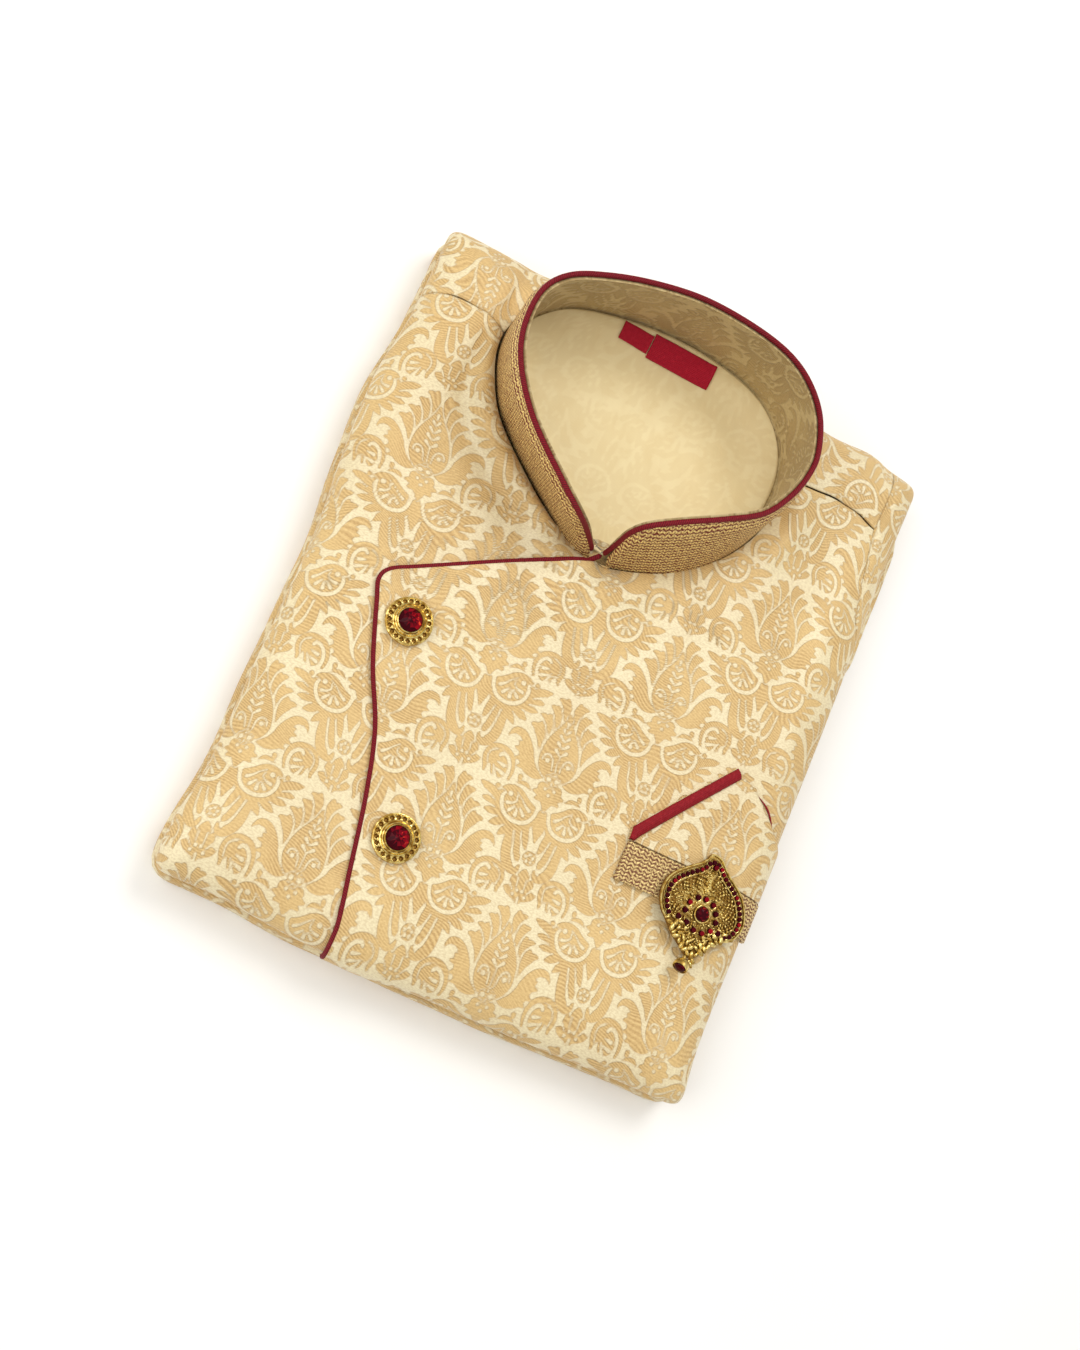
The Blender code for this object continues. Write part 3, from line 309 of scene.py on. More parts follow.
def cloth_normal(a, b, step=0.4):
    """The cloth's outward direction, read just inside the rim where a place lies on it."""
    flat_x, flat_y, over_x, over_y, over = roll_share(a, b)
    within = np.minimum(1, RIM_SHARE / over) * ROLL_CLOTH
    a, b = flat_x + over_x * within, flat_y + over_y * within
    along = cloth_point(a + step, b) - cloth_point(a - step, b)
    up = cloth_point(a, b + step) - cloth_point(a, b - step)
    normal = np.cross(along, up)
    return normal / np.linalg.norm(normal, axis=-1)[..., None]


def cloth_place(points):
    """The place along the cloth of points given in plan."""
    wanted = np.asarray(points, float)[:, :2]
    place = wanted.copy()
    for _ in range(SOLVE_ROUNDS):
        place += SOLVE_PACE * (wanted - cloth_point(place[:, 0], place[:, 1])[:, :2])
    return place


def patch(left, right, bottom, top):
    """Cloth places filling four border lines, as a surface of two shares from 0 to 1."""
    def surface(across, up):
        def along(line, share):
            steps = np.linspace(0, 1, len(line))
            return np.column_stack([np.interp(share, steps, line[:, k]) for k in range(2)])
        u, v = across[:, None], up[:, None]
        sides = (1 - u) * along(left, up) + u * along(right, up)
        ends = (1 - v) * along(bottom, across) + v * along(top, across)
        corners = ((1 - u) * (1 - v) * bottom[0] + u * (1 - v) * bottom[-1]
                   + (1 - u) * v * top[0] + u * v * top[-1])
        return sides + ends - corners
    return surface


# ---- lines that several pieces share ----

def collar_curve(count):
    """The collar's middle base line and the line of its edge piping, stations in step."""
    line = smooth_line(np.array(COLLAR, float), count)
    place = cloth_place(line[:, :2])
    return cloth_point(place[:, 0], place[:, 1]), line[:, 2:5]


def neck_ring(outwards, count=NECK_STEPS):
    """The neckline in plan, moved out from the collar's middle line, as an open line."""
    base, _ = collar_curve(count)
    return moved_sideways(base[:, :2], outwards)


def neck_depth(x, y):
    """How far points are inside the neck, and 0 outside it."""
    ring = neck_ring(0)
    return np.where(inside(ring, x, y), distance_to(np.vstack([ring, ring[:1]]), x, y), 0.0)


def neck_arc(start, end, count):
    """Cloth places along the neckline between the stations nearest two points."""
    ring = neck_ring(NECK_EDGE)
    first, last = (np.argmin(np.hypot(*(ring - point).T)) for point in (start, end))
    arc = ring[first:last + 1] if first < last else ring[last:first + 1][::-1]
    return cloth_place(resample(arc, count))


def overlap_line(sideways, count):
    """Places along the overlap's edge, moved sideways, from the neck to the bottom rim."""
    places = cloth_place(smooth_line(OVERLAP, OVERLAP_LINE))
    rim = np.linspace(places[-1], (OVERLAP_RIM_X, RIM_BOTTOM + OVERLAP_SHORT), 12)[1:]
    return resample(moved_sideways(np.vstack([places, rim]), sideways), count)


def left_seam(neck_end, sideways, count):
    """Places along the left shoulder seam, from the side rim to the neck."""
    places = np.vstack([(RIM_LEFT, SEAM_RIM_LEFT), cloth_place(SHOULDER_SEAM_LEFT), neck_end])
    return moved_sideways(smooth_line(places, count), sideways)


def right_seam(neck_end, sideways, count):
    """Places along the right shoulder seam, from the neck to the armhole."""
    places = np.vstack([neck_end, cloth_place(SHOULDER_SEAM_RIGHT)])
    return moved_sideways(smooth_line(places, count), sideways)


def straight(start, end, count):
    return resample(np.array([start, end], float), count)


def joined(*lines):
    kept = [np.asarray(line)[:-1] for line in lines[:-1]]
    return np.vstack(kept + [np.asarray(lines[-1])])


def steps_for(length, step):
    return max(2, round(length / step)) + 1


def armhole_line(sideways, lower, count):
    """Places along the armhole: from the top rim to the seam's end, or on to the side rim."""
    points = cloth_place(np.array(ARMHOLE, float))
    if lower:
        foot = (RIM_RIGHT - ARMHOLE_FOOT_WIDTH, ARMHOLE_FOOT)
        return moved_sideways(smooth_line(np.vstack([points[2:], foot]), count), sideways)
    start = (points[0, 0], RIM_TOP)
    return moved_sideways(smooth_line(np.vstack([start, points[:3]]), count), sideways)


# ---- meshes ----

def own_mesh(name, shape, look):
    """A finished piece from a bmesh in metres, in its place."""
    mesh = bpy.data.meshes.new(name)
    shape.to_mesh(mesh)
    shape.free()
    mesh.materials.append(look)
    mesh.shade_smooth()
    made = bpy.data.objects.new(name, mesh)
    bpy.context.scene.collection.objects.link(made)
    return made


def bent_grid(columns, rows, surface, flip=False):
    """A grid bent over a surface of two shares from 0 to 1, with its cloth places as UVs."""
    shape = bmesh.new()
    bmesh.ops.create_grid(shape, x_segments=columns, y_segments=rows, size=0.5)
    shape.verts.ensure_lookup_table()
    flat = np.array([knot.co[:2] for knot in shape.verts]) + 0.5
    points, places = surface(flat[:, 0], flat[:, 1])
    for knot, point in zip(shape.verts, (points + FOLD_SHIFT) * MM):
        knot.co = point
    chart = shape.loops.layers.uv.new("cloth")
    charted = places * MM
    for face in shape.faces:
        for corner in face.loops:
            corner[chart].uv = charted[corner.vert.index]
    if flip:
        bmesh.ops.reverse_faces(shape, faces=shape.faces)
    shape.normal_update()
    return shape


def hemmed(shape, depth):
    """A sheet whose borders turn down by its cloth's thickness."""
    borders = [edge for edge in shape.edges if edge.is_boundary]
    directions = {knot: knot.normal.copy() for edge in borders for knot in edge.verts}
    made = bmesh.ops.extrude_edge_only(shape, edges=borders)["geom"]
    for knot in (part for part in made if isinstance(part, bmesh.types.BMVert)):
        old = next(edge.other_vert(knot) for edge in knot.link_edges
                   if edge.other_vert(knot) in directions)
        knot.co -= directions[old] * depth * MM
    return shape


def walled(piece, wall):
    thick = piece.modifiers.new("wall", "SOLIDIFY")
    thick.thickness = wall * MM
    thick.offset = -1
    thick.use_even_offset = False
    return piece


def tube(name, points, radius, look, around=12, relief=None):
    """A closed round cord along points, with UVs of (metres round, metres along)."""
    line = np.asarray(points, float)
    run = np.concatenate([[0], np.cumsum(np.linalg.norm(np.diff(line, axis=0), axis=1))])
    ahead = np.gradient(line, axis=0)
    ahead /= np.linalg.norm(ahead, axis=1)[:, None]
    side = np.cross(ahead, (0, 0, 1))
    side /= np.linalg.norm(side, axis=1)[:, None]
    over = np.cross(side, ahead)

    def surface(across, up):
        at = up * (len(line) - 1)
        turn = -across * 2 * math.pi

        def between(values):
            return np.column_stack([np.interp(at, range(len(line)), values[:, k])
                                    for k in range(3)])
        along = np.interp(at, range(len(line)), run)
        end = np.minimum(along, run[-1] - along)
        reach = radius * np.sqrt(np.clip(1 - np.clip(1 - end / radius, 0, 1)**2, 0.02, 1))
        if relief is not None:
            reach = reach + relief(turn, along)
        points = (between(line) + between(side) * (np.cos(turn) * reach)[:, None]
                  + between(over) * (np.sin(turn) * reach)[:, None])
        return points, np.column_stack([across * 2 * math.pi * radius, along])
    shape = bent_grid(around, len(line) - 1, surface)
    bmesh.ops.remove_doubles(shape, verts=shape.verts, dist=WELD)
    ends = [edge for edge in shape.edges if edge.is_boundary]
    bmesh.ops.holes_fill(shape, edges=ends, sides=0)
    bmesh.ops.recalc_face_normals(shape, faces=shape.faces)
    return own_mesh(name, shape, look)


def surface_of(piece):
    bpy.context.view_layer.update()
    return BVHTree.FromObject(piece, bpy.context.evaluated_depsgraph_get())


def seated(points, normals, trees, lift):
    """Points dropped along their normals onto the pieces below, then lifted off them."""
    landed = []
    for point, normal in zip(points, normals):
        best = None
        start = Vector((point + normal * RAY_START + FOLD_SHIFT) * MM)
        for tree in trees:
            hit, _, _, far = tree.ray_cast(start, -Vector(normal), RAY_REACH * MM)
            if hit is not None and (best is None or far < best):
                best = far
        along = RAY_START - best / MM if best is not None else 0.0
        landed.append(point + normal * (along + lift))
    return np.array(landed)


def worn(piece, node):
    """The piece stands for a solid, which it hides, and rides on the root body."""
    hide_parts(node)
    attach(piece, "root")
    return piece


def cut(piece):
    """Reads a sheet's cloth places and the order of its corners, and keeps nothing."""
    mesh = piece.data
    corners = np.empty(2 * len(mesh.loops))
    mesh.uv_layers["cloth"].data.foreach_get("uv", corners)
    corners = corners.reshape(-1, 2)
    starts = np.empty(len(mesh.polygons), int)
    mesh.polygons.foreach_get("loop_start", starts)
    follows = np.arange(len(corners)) + 1
    follows[np.append(starts[1:], len(corners)) - 1] = starts


# ---- the woven figure ----

REPEAT_WIDTH, REPEAT_HEIGHT = 86.3, 95.6
FIGURE_STEP = 0.22
FIGURE_SOFT, GOLD_SWELL, FIGURE_FAR = 1.1, 0.26, 9.0
REPEAT_ACROSS, REPEAT_UP = (83.9, 4.9), (-10.1, 92.5)
UPPER_FRONT_START, LOWER_FRONT_START, YOKE_START = (9.9, -56.4), (-95.3, 44.5), (-105.0, 153.0)
SLEEVE_START, INNER_COLLAR_START, SQUARE_START = (120.0, 60.0), (40.0, -6.0), (98.7, -62.6)
GROUND, GOLD = 0, 1

# The woven figure in strokes, right half only: ink, then (x, y, half width) along each
FIGURE_STROKES = (
    # spreading side petal with its curled tip and cut outer edge
    (GOLD, ((4.6, 0.2, 0.4), (9, 0.2, 2.2), (12.9, 2.8, 3.6), (15.2, 6.9, 3.4), (17.1, 11, 2.8),
            (19.8, 14.3, 2.1), (23.2, 15.1, 1.2), (24.9, 13.2, 0.6), (25.5, 12, 0.3))),
    (GOLD, ((14, 1.8, 1.7), (17.6, 0.6, 0.3))),
    (GOLD, ((16.2, 4.8, 1.7), (19.6, 3.7, 0.3))),
    (GOLD, ((17.4, 8.2, 1.7), (21, 8, 0.3))),
    (GROUND, ((23.6, 11.2, 1.8), (21.4, 12.2, 1.2), (19, 11.6, 0.2))),
    # feathers with forked tips, one above the other
    (GOLD, ((10.2, 10.9, 0.6), (11.2, 14.2, 1.6), (12.2, 17.4, 2.3), (12.6, 19.6, 2.3),
            (12.2, 22.3, 0.9))),
    (GOLD, ((13, 19, 1.7), (15.2, 20.4, 1.2), (16.8, 20.6, 0.5))),
    (GOLD, ((8.8, 16.9, 0.6), (8.6, 20.3, 1.6), (9.6, 23.6, 2.2), (9.5, 26.7, 0.9))),
    (GOLD, ((10, 23.6, 1.7), (12, 25.6, 1.2), (13.8, 25.8, 0.5))),
    (GOLD, ((6.6, 20.4, 0.6), (5.4, 23.7, 1.4), (5.9, 27.2, 2.1), (6.5, 29.6, 1.9),
            (6.1, 32.1, 0.9))),
    (GOLD, ((6.4, 28.6, 1.7), (8.2, 30.8, 1.2), (9.8, 31.3, 0.5))),
    (GOLD, ((3.2, 25.4, 0.6), (2.5, 29.3, 1.5), (2.9, 33, 1.9), (3.2, 36.4, 0.9))),
    (GOLD, ((3.2, 32.8, 1.6), (5.2, 35.2, 1.1), (6.9, 35.6, 0.5))),
    (GROUND, ((9.8, 10.5, 0.5), (9.2, 15.6, 0.5), (9.5, 18.8, 0.5), (10.6, 21.7, 0.5),
              (12.8, 24, 0.6), (15.6, 25.4, 0.9))),
    (GROUND, ((8.4, 16.7, 0.5), (7, 20.3, 0.5), (7, 23.5, 0.5), (7.7, 26.2, 0.5),
              (9.4, 28.9, 0.6), (11.8, 30, 0.9))),
    (GROUND, ((3.9, 24.3, 0.5), (3.9, 27.2, 0.5), (4.6, 30.6, 0.5), (6, 33, 0.6),
              (8.4, 34.4, 0.9))),
    # ground band between the petal and the feathers
    (GROUND, ((3.2, 0.9, 0.7), (7.6, 2.7, 0.85), (10.4, 6.5, 0.9), (11.6, 10.2, 0.85),
              (13.6, 14.6, 0.85), (16.3, 17.5, 0.9), (19.2, 18.6, 0.9), (22.2, 18.2, 0.9),
              (25, 16.4, 0.8), (26.6, 13.4, 0.6))),
    # the long-necked cup with its ear of grain and its curls
    (GROUND, ((0, 8.4, 10.1), (0, 13, 9.2), (0, 17.4, 7.4), (0, 22.8, 4.4), (0, 26.4, 2.7),
              (0, 30.5, 1.3), (0, 34, 0.6))),
    (GROUND, ((0, 33, 0.6), (0, 39, 0.9))),
    (GOLD, ((0, 8.4, 9.1), (0, 13, 8.2), (0, 17.4, 6.3), (0, 22.8, 3.4), (0, 26.4, 1.7),
            (0, 30.5, 0.3))),
    (GROUND, ((0.3, 11.4, 0.4), (2.5, 13.4, 0.9))),
    (GROUND, ((0.3, 14.8, 0.4), (2.5, 16.8, 0.9))),
    (GROUND, ((0.3, 18.2, 0.4), (2.2, 20.2, 0.8))),
    (GROUND, ((0.2, 21.6, 0.4), (1.5, 23.4, 0.7))),
    (GROUND, ((0, 24.6, 0.5), (0, 26.6, 0.8))),
    (GROUND, ((0, 4.4, 0.4), (0, 11.4, 0.45))),
    (GROUND, ((1.9, 4.2, 0.4), (2.5, 7.9, 0.5), (3.8, 10, 0.5), (5.5, 10.5, 0.5),
              (7, 9.6, 0.5), (7.5, 7.6, 0.5))),
    (GROUND, ((5.1, 7.7, 1.1), (5.11, 7.7, 1.1))),
    # palmette standing over the feathers
    (GOLD, ((0, 40.8, 1.4), (0, 43.6, 2.6), (0, 47, 2.2), (0, 51, 2.6), (0, 53.8, 1))),
    (GOLD, ((1.6, 44.6, 1.5), (3.5, 47.6, 2), (4.4, 50.8, 0.5))),
    (GOLD, ((2.2, 42.4, 1.3), (5, 44.2, 1.7), (7.3, 45, 0.4))),
    (GROUND, ((1.9, 46.6, 0.4), (2, 50.6, 0.5))),
    (GROUND, ((3.6, 44.8, 0.4), (5.6, 47.4, 0.5))),
    (GROUND, ((1.2, 45.2, 0.85), (1.21, 45.2, 0.85))),
    (GROUND, ((2.9, 43, 0.85), (2.91, 43, 0.85))),
    (GROUND, ((0, 38.6, 0.5), (0, 42, 0.7))),
    # leaves closing round the small flower
    (GOLD, ((0, 80.4, 1.6), (0, 77.2, 3), (0, 73.6, 2.6), (0, 70.6, 1.4), (0, 67.2, 0.2))),
    (GOLD, ((6, 78.4, 1), (6.2, 74, 1.5), (5.4, 70.2, 1.5), (4.4, 67.2, 1.3),
            (3.8, 64.8, 0.9), (3, 63.2, 0.3))),
    (GOLD, ((9.4, 72.8, 0.9), (8.6, 68.4, 1.2), (7.6, 65, 1.4), (6.9, 61.6, 1.7),
            (6, 58.8, 1.4), (5.2, 57.4, 0.5))),
    (GOLD, ((12.6, 70.4, 0.8), (12.2, 67, 1.4), (11.9, 63.8, 1.9), (11.2, 60, 2.4),
            (10.1, 56.4, 2.5), (8.4, 53.6, 1.9), (6.2, 52.1, 1.1), (4.5, 53.2, 0.9),
            (3.8, 55.4, 0.4))),
    (GROUND, ((3.2, 80, 0.4), (4.2, 76.6, 0.45), (3.5, 73, 0.45), (2.2, 69.6, 0.6),
              (0.8, 65.6, 0.8))),
    (GROUND, ((7.7, 75, 0.5), (7.3, 70, 0.5), (6.2, 66.4, 0.5), (5.2, 63.4, 0.6),
              (4.4, 60.8, 0.7))),
    (GROUND, ((10.8, 72, 0.5), (10.2, 67.8, 0.55), (9.5, 63.8, 0.55), (8.7, 60.2, 0.6),
              (7.4, 57.2, 0.8), (5.9, 55.4, 0.7))),
    # leaves fanned round the large shell
    (GOLD, ((21, -16.6, 1.4), (24.6, -14.2, 2), (28, -12.6, 1.6), (31.4, -11.4, 0.3))),
    (GOLD, ((21.6, -19.2, 1.4), (25.2, -17.9, 1.7), (28.8, -17.4, 0.3))),
    (GOLD, ((18.4, -20.8, 1.8), (22.4, -21.7, 1.9), (26.6, -22, 0.3))),
    (GOLD, ((16.2, -23.6, 1.6), (19.2, -25.4, 1.8), (22.6, -27, 0.3))),
    (GOLD, ((12.6, -24.8, 1.6), (14.8, -27.6, 1.7), (17.4, -30.6, 0.3))),
    (GROUND, ((22.4, -17.4, 0.4), (25.6, -15.9, 0.5), (28.6, -15, 0.9))),
    (GROUND, ((20.6, -20.2, 0.4), (24, -19.9, 0.5), (27.4, -19.7, 0.9))),
    (GROUND, ((17.8, -22.6, 0.4), (21.2, -23.8, 0.5), (24.4, -24.4, 0.9))),
    (GROUND, ((14.8, -24.8, 0.4), (17.2, -27, 0.5), (19.8, -28.6, 0.9))),
    (GOLD, ((23.6, -10.6, 0.9), (23.61, -10.6, 0.9))),
    # flick over the large shell
    (GOLD, ((9.2, -7.6, 0.5), (11.2, -6, 0.9), (14, -6.2, 0.8), (15.8, -7.4, 0.5))),
    (GOLD, ((14.8, -3.4, 0.9), (14.9, -4.4, 0.7))),
)
# Bud hanging over the large shells, with its rim of ground
HANGING_BUD = (
    (GOLD, ((0, -4.6, 3), (0, -8.4, 3), (0, -13.4, 0.6))),
    (GOLD, ((3.6, -4.2, 2.1), (3.61, -4.2, 2.1))),
    (GOLD, ((3.8, -6.6, 2), (7, -6.8, 0.5))),
    (GOLD, ((3, -8.6, 1.8), (5.4, -9.8, 0.5))),
    (GROUND, ((0, -6.8, 0.9), (0, -6.81, 0.9))),
    (GROUND, ((2.2, -4.4, 0.85), (2.21, -4.4, 0.85))),
)
BUD_RIM = 0.9
FLOWER_AT, FLOWER_SIZE = (0, 59.8), 3.0
FLOWER_BEADS, FLOWER_BEAD = 5, (1.75, 0.8)
CALYX_BEADS = ((1.9, 0, 1.1), (0, 2, 0.6), (0, -1.9, 0.6))
CALYX_RIM, CALYX_LINE = 1.2, 0.5

# The large shell from its own middle: body, ring, ground above it, top band, drops, curl
LARGE_SHELL_AT = (12.2, -15.2)
LARGE_SHELL = (
    (GOLD, ((-8.6, -4.2, 1), (-6, -8.2, 1.2), (0, -9.7, 1.2), (5.6, -7.4, 1.2),
            (9.4, -2.6, 1), (9.2, 2.6, 0.6))),
    (GOLD, ((-5.2, -1.6, 3.6), (0, -1.6, 6), (3.6, 0.4, 4.8), (4.6, 2.4, 3.4))),
    (GROUND, ((-10.4, 4.2, 0.4), (-9.3, 0.4, 0.85), (-8.3, -3.2, 0.9), (-5.4, -6.6, 0.95),
              (-0.2, -7.8, 0.95), (4.6, -6.2, 0.95), (7.3, -2.8, 0.9), (8, 0.8, 0.9),
              (7.2, 3, 0.6))),
    (GROUND, ((-9, 4, 1.4), (-5.4, 4.6, 1.6), (-2.6, 6.6, 1.2), (0.4, 7.8, 0.8),
              (4, 7.8, 0.5))),
    (GOLD, ((8.6, 4.6, 0.4), (6.4, 5.6, 0.9), (3, 6.2, 0.9), (-0.2, 5.2, 0.95),
            (-2.6, 3.4, 0.9), (-5, 1.8, 0.9), (-7.6, 1, 0.5))),
    (GROUND, ((1.6, 4.6, 0.35), (-1.2, 2.6, 0.4), (-3.4, 0.4, 0.55), (-5.8, -1.2, 0.85))),
    (GROUND, ((-1.2, -1.2, 0.4), (-3.6, -4, 0.9))),
    (GROUND, ((-0.2, -1.8, 0.4), (0, -5, 1))),
    (GROUND, ((1, -1.4, 0.4), (3.4, -3.9, 0.9))),
    (GROUND, ((1.4, 3.2, 0.35), (1, 1.2, 0.45), (2.8, -0.4, 0.55), (5.2, -1, 0.85))),
    (GROUND, ((4.6, 3.2, 1.2), (4.7, 3.2, 1.2))),
)
SMALL_SHELL_AT = (16.6, 46.2)
SMALL_SHELL = (
    (GROUND, ((0, -3, 7), (0, 0.6, 8.4))),
    (GOLD, ((0.6, -1.8, 4.2), (-0.4, 0.8, 5.2))),
    (GOLD, ((6.4, -5.1, 0.5), (7.3, -1.3, 0.6), (6.8, 2.3, 0.7), (5, 5.3, 0.9), (2.2, 7, 0.9),
            (-1.4, 7.5, 0.8), (-4.2, 6.6, 0.7), (-6.3, 4.4, 0.65), (-7.1, 1.5, 0.65),
            (-6.7, -0.9, 0.65), (-5.9, -3.1, 0.6), (-5.9, -4.8, 0.4))),
    (GROUND, ((4.7, -5.8, 1), (5.6, -1.9, 0.85), (5, 1.8, 0.85), (3, 4.2, 0.8),
              (0.8, 4.7, 0.8), (-0.2, 3.6, 0.8))),
    (GROUND, ((-2, 5.7, 0.35), (-4.7, 4.3, 0.4), (-5.7, 1.5, 0.4), (-5.2, -1.4, 0.45))),
    (GROUND, ((-0.4, 0.6, 0.4), (2.8, -0.2, 0.95))),
    (GROUND, ((-0.8, -2.2, 0.35), (3, -3.6, 0.95))),
    (GROUND, ((-1.9, -1.3, 0.4), (-0.8, -4, 0.6), (0.2, -6, 0.95))),
    (GROUND, ((-3.8, -1.9, 0.5), (-3.4, -5.4, 1.1))),
)


def spot(ink, x, y, size):
    """A round spot: a stroke that hardly moves."""
    return ink, ((x, y, size), (x + 0.01, y, size))


def shifted(strokes, across, up):
    return [(ink, tuple((x + across, y + up, w) for x, y, w in knots)) for ink, knots in strokes]


def figure_strokes():
    """All the strokes of the figure's right half, in the order they are laid."""
    strokes = list(FIGURE_STROKES)
    strokes += shifted(LARGE_SHELL, *LARGE_SHELL_AT)
    strokes += shifted(SMALL_SHELL, *SMALL_SHELL_AT)
    for ink, knots in HANGING_BUD:
        if ink == GOLD:
            strokes.append((GROUND, tuple((x, y, w + BUD_RIM) for x, y, w in knots)))
    strokes += HANGING_BUD
    cx, cy = FLOWER_AT
    strokes.append(spot(GROUND, cx, cy, FLOWER_SIZE + BUD_RIM))
    strokes.append(spot(GOLD, cx, cy, FLOWER_SIZE))
    for k in range(FLOWER_BEADS):
        turn = math.radians(90 + 360 * k / FLOWER_BEADS)
        x, y = cx + FLOWER_BEAD[0] * math.cos(turn), cy + FLOWER_BEAD[0] * math.sin(turn)
        strokes.append(spot(GROUND, x, y, FLOWER_BEAD[1]))
    for x, y, size in CALYX_BEADS:
        strokes.append(spot(GROUND, x, y, size + CALYX_RIM))
    for x, y, size in CALYX_BEADS:
        strokes.append(spot(GOLD, x, y, size + CALYX_LINE))
    for x, y, size in CALYX_BEADS:
        strokes.append(spot(GROUND, x, y, size))
    return strokes


def paint(field, x, y, ink, line):
    """Adds one stroke to a field that is negative in the gold parts."""
    reach = line[:, 2].max() + 3.0
    low, high = line[:, :2].min(axis=0) - reach, line[:, :2].max(axis=0) + reach
    i0, i1 = np.searchsorted(y[:, 0], (low[1], high[1]))
    j0, j1 = np.searchsorted(x[0], (low[0], high[0]))
    px, py = x[i0:i1, j0:j1], y[i0:i1, j0:j1]
    if not px.size:
        return
    away = np.full(px.shape, FIGURE_FAR)
    for (x0, y0, w0), (x1, y1, w1) in zip(line[:-1], line[1:]):
        dx, dy = x1 - x0, y1 - y0
        share = np.clip(((px - x0) * dx + (py - y0) * dy) / max(dx * dx + dy * dy, 1e-9), 0, 1)
        far = np.hypot(px - x0 - share * dx, py - y0 - share * dy)
        away = np.minimum(away, far - w0 - (w1 - w0) * share)
    part = field[i0:i1, j0:j1]
    field[i0:i1, j0:j1] = np.minimum(part, away) if ink == GOLD else np.maximum(part, -away)


def figure_chart():
    """The share of gold over half the repeat's width, soft at the figure's edges."""
    across = np.arange(-2 * FIGURE_STEP, REPEAT_WIDTH / 2 + 2 * FIGURE_STEP, FIGURE_STEP)
    up = np.arange(-REPEAT_HEIGHT / 2, REPEAT_HEIGHT / 2 + 2 * FIGURE_STEP, FIGURE_STEP)
    x, y = np.meshgrid(across, up)
    both = np.full(x.shape, FIGURE_FAR)
    for side, rise in ((0, 0), (REPEAT_WIDTH / 2, REPEAT_HEIGHT / 2)):
        field = np.full(x.shape, FIGURE_FAR)
        for ink, knots in figure_strokes():
            line = np.array(knots, float)
            line[:, 2] += GOLD_SWELL if ink == GOLD else 0
            if len(knots) > 2:
                line = smooth_line(line, 6 * len(knots))
            for way in (1, -1):
                for lift in (-1, 0, 1):
                    moved = line * (way, 1, 1) + (side, rise + lift * REPEAT_HEIGHT, 0)
                    paint(field, x, y, ink, moved)
        both = np.minimum(both, field)
    return np.clip(0.5 - both / FIGURE_SOFT, 0, 1)


def figured(piece, start, turned=1):
    """The share of gold at each of a cloth's points, its repeat counted from start."""
    mesh = piece.data
    owner = np.empty(len(mesh.loops), int)
    mesh.loops.foreach_get("vertex_index", owner)
    corners = np.empty(2 * len(mesh.loops))
    mesh.uv_layers["cloth"].data.foreach_get("uv", corners)
    places = np.zeros((len(mesh.vertices), 2))
    places[owner] = corners.reshape(-1, 2) / MM
    basis = np.array((REPEAT_ACROSS, REPEAT_UP), float).T * turned
    x, y = np.linalg.inv(basis) @ (places - start).T
    half = REPEAT_HEIGHT / 2
    x = np.abs(x - np.round(x)) * REPEAT_WIDTH
    y = (y * REPEAT_HEIGHT + half) % REPEAT_HEIGHT - half
    i, j = (y + half) / FIGURE_STEP, x / FIGURE_STEP + 2
    row, column = i.astype(int), j.astype(int)
    p, q = i - row, j - column
    share = ((FIGURE[row, column] * (1 - q) + FIGURE[row, column + 1] * q) * (1 - p)
             + (FIGURE[row + 1, column] * (1 - q) + FIGURE[row + 1, column + 1] * q) * p)
    mesh.attributes.new("figure", "FLOAT", "POINT").data.foreach_set("value", share)
    return piece


FIGURE = figure_chart()


# ---- the cloth pieces ----

CLOTH_STEP = 0.88
CLOTH_HEM = 1.3


def length_of(line):
    return np.linalg.norm(np.diff(line, axis=0), axis=1).sum()


def spaced(line, step=CLOTH_STEP):
    """The line with one point for each step of its length."""
    return resample(line, steps_for(length_of(line), step))


def matched(line, other):
    return resample(line, len(other))


# Soft creases of the outer cloth: points, height outwards, half width
CREASES = (
    (((-62, 62), (-48, 52), (-33, 47)), 1.5, 4.5),
    (((-88, 96), (-80, 78), (-64, 60)), 1, 6),
    (((-98, 128), (-96, 104), (-90, 84)), -0.9, 5),
    (((-118, 60), (-104, 30), (-100, -4)), 0.7, 7),
    (((-112, -40), (-98, -78), (-100, -120)), -0.6, 8),
    (((-80, 12), (-40, 26), (-4, 34)), -0.7, 6),
    (((10, 40), (34, 52), (56, 70)), -1, 5),
    (((66, 84), (70, 104), (68, 118)), 1.1, 5),
    (((30, 30), (58, 46), (78, 74)), 0.7, 7),
    (((88, 110), (96, 70), (92, 30)), -0.5, 6),
    (((106, 90), (104, 40), (110, -4)), 0.7, 6),
    (((-30, -20), (10, -42), (44, -50)), 0.5, 12),
    (((-40, -70), (0, -96), (52, -108)), -0.5, 11),
    (((-20, -128), (30, -134), (84, -126)), 0.6, 8),
    (((40, -56), (46, -76), (42, -98)), -0.5, 5),
    (((78, 150), (86, 140), (92, 128)), -1, 4),
    (((-88, 158), (-92, 146), (-90, 132)), -1, 4),
    (((-97, 112), (-94, 92), (-82, 71), (-64, 54), (-46, 43)), -1.7, 4),
    (((-106, 104), (-101, 82), (-88, 60), (-66, 40)), 1, 5.5),
    (((-94, 82), (-106, 72)), -0.6, 2.6),
    (((-84, 66), (-97, 52)), -0.6, 2.6),
    (((-70, 52), (-80, 36)), -0.7, 2.8),
    (((-54, 42), (-59, 24)), -0.6, 2.6),
    (((-34, 34), (-37, 20)), -0.4, 2.4),
    (((18, 40), (26, 28)), -0.5, 2.6),
    (((44, 54), (56, 44)), -0.5, 2.6),
    (((-124, 126.6), (-102, 126), (-88, 122.5)), -0.9, 1.7),
    (((66, 123), (84, 126), (97, 125.5), (111, 121.5)), -0.8, 1.6),
    (((112, 152), (112, 138), (111, 121.5), (114, 100), (119, 78)), -0.7, 1.6),
)
NECK_GROOVE, NECK_GROOVE_WIDTH = 3.6, 5.0
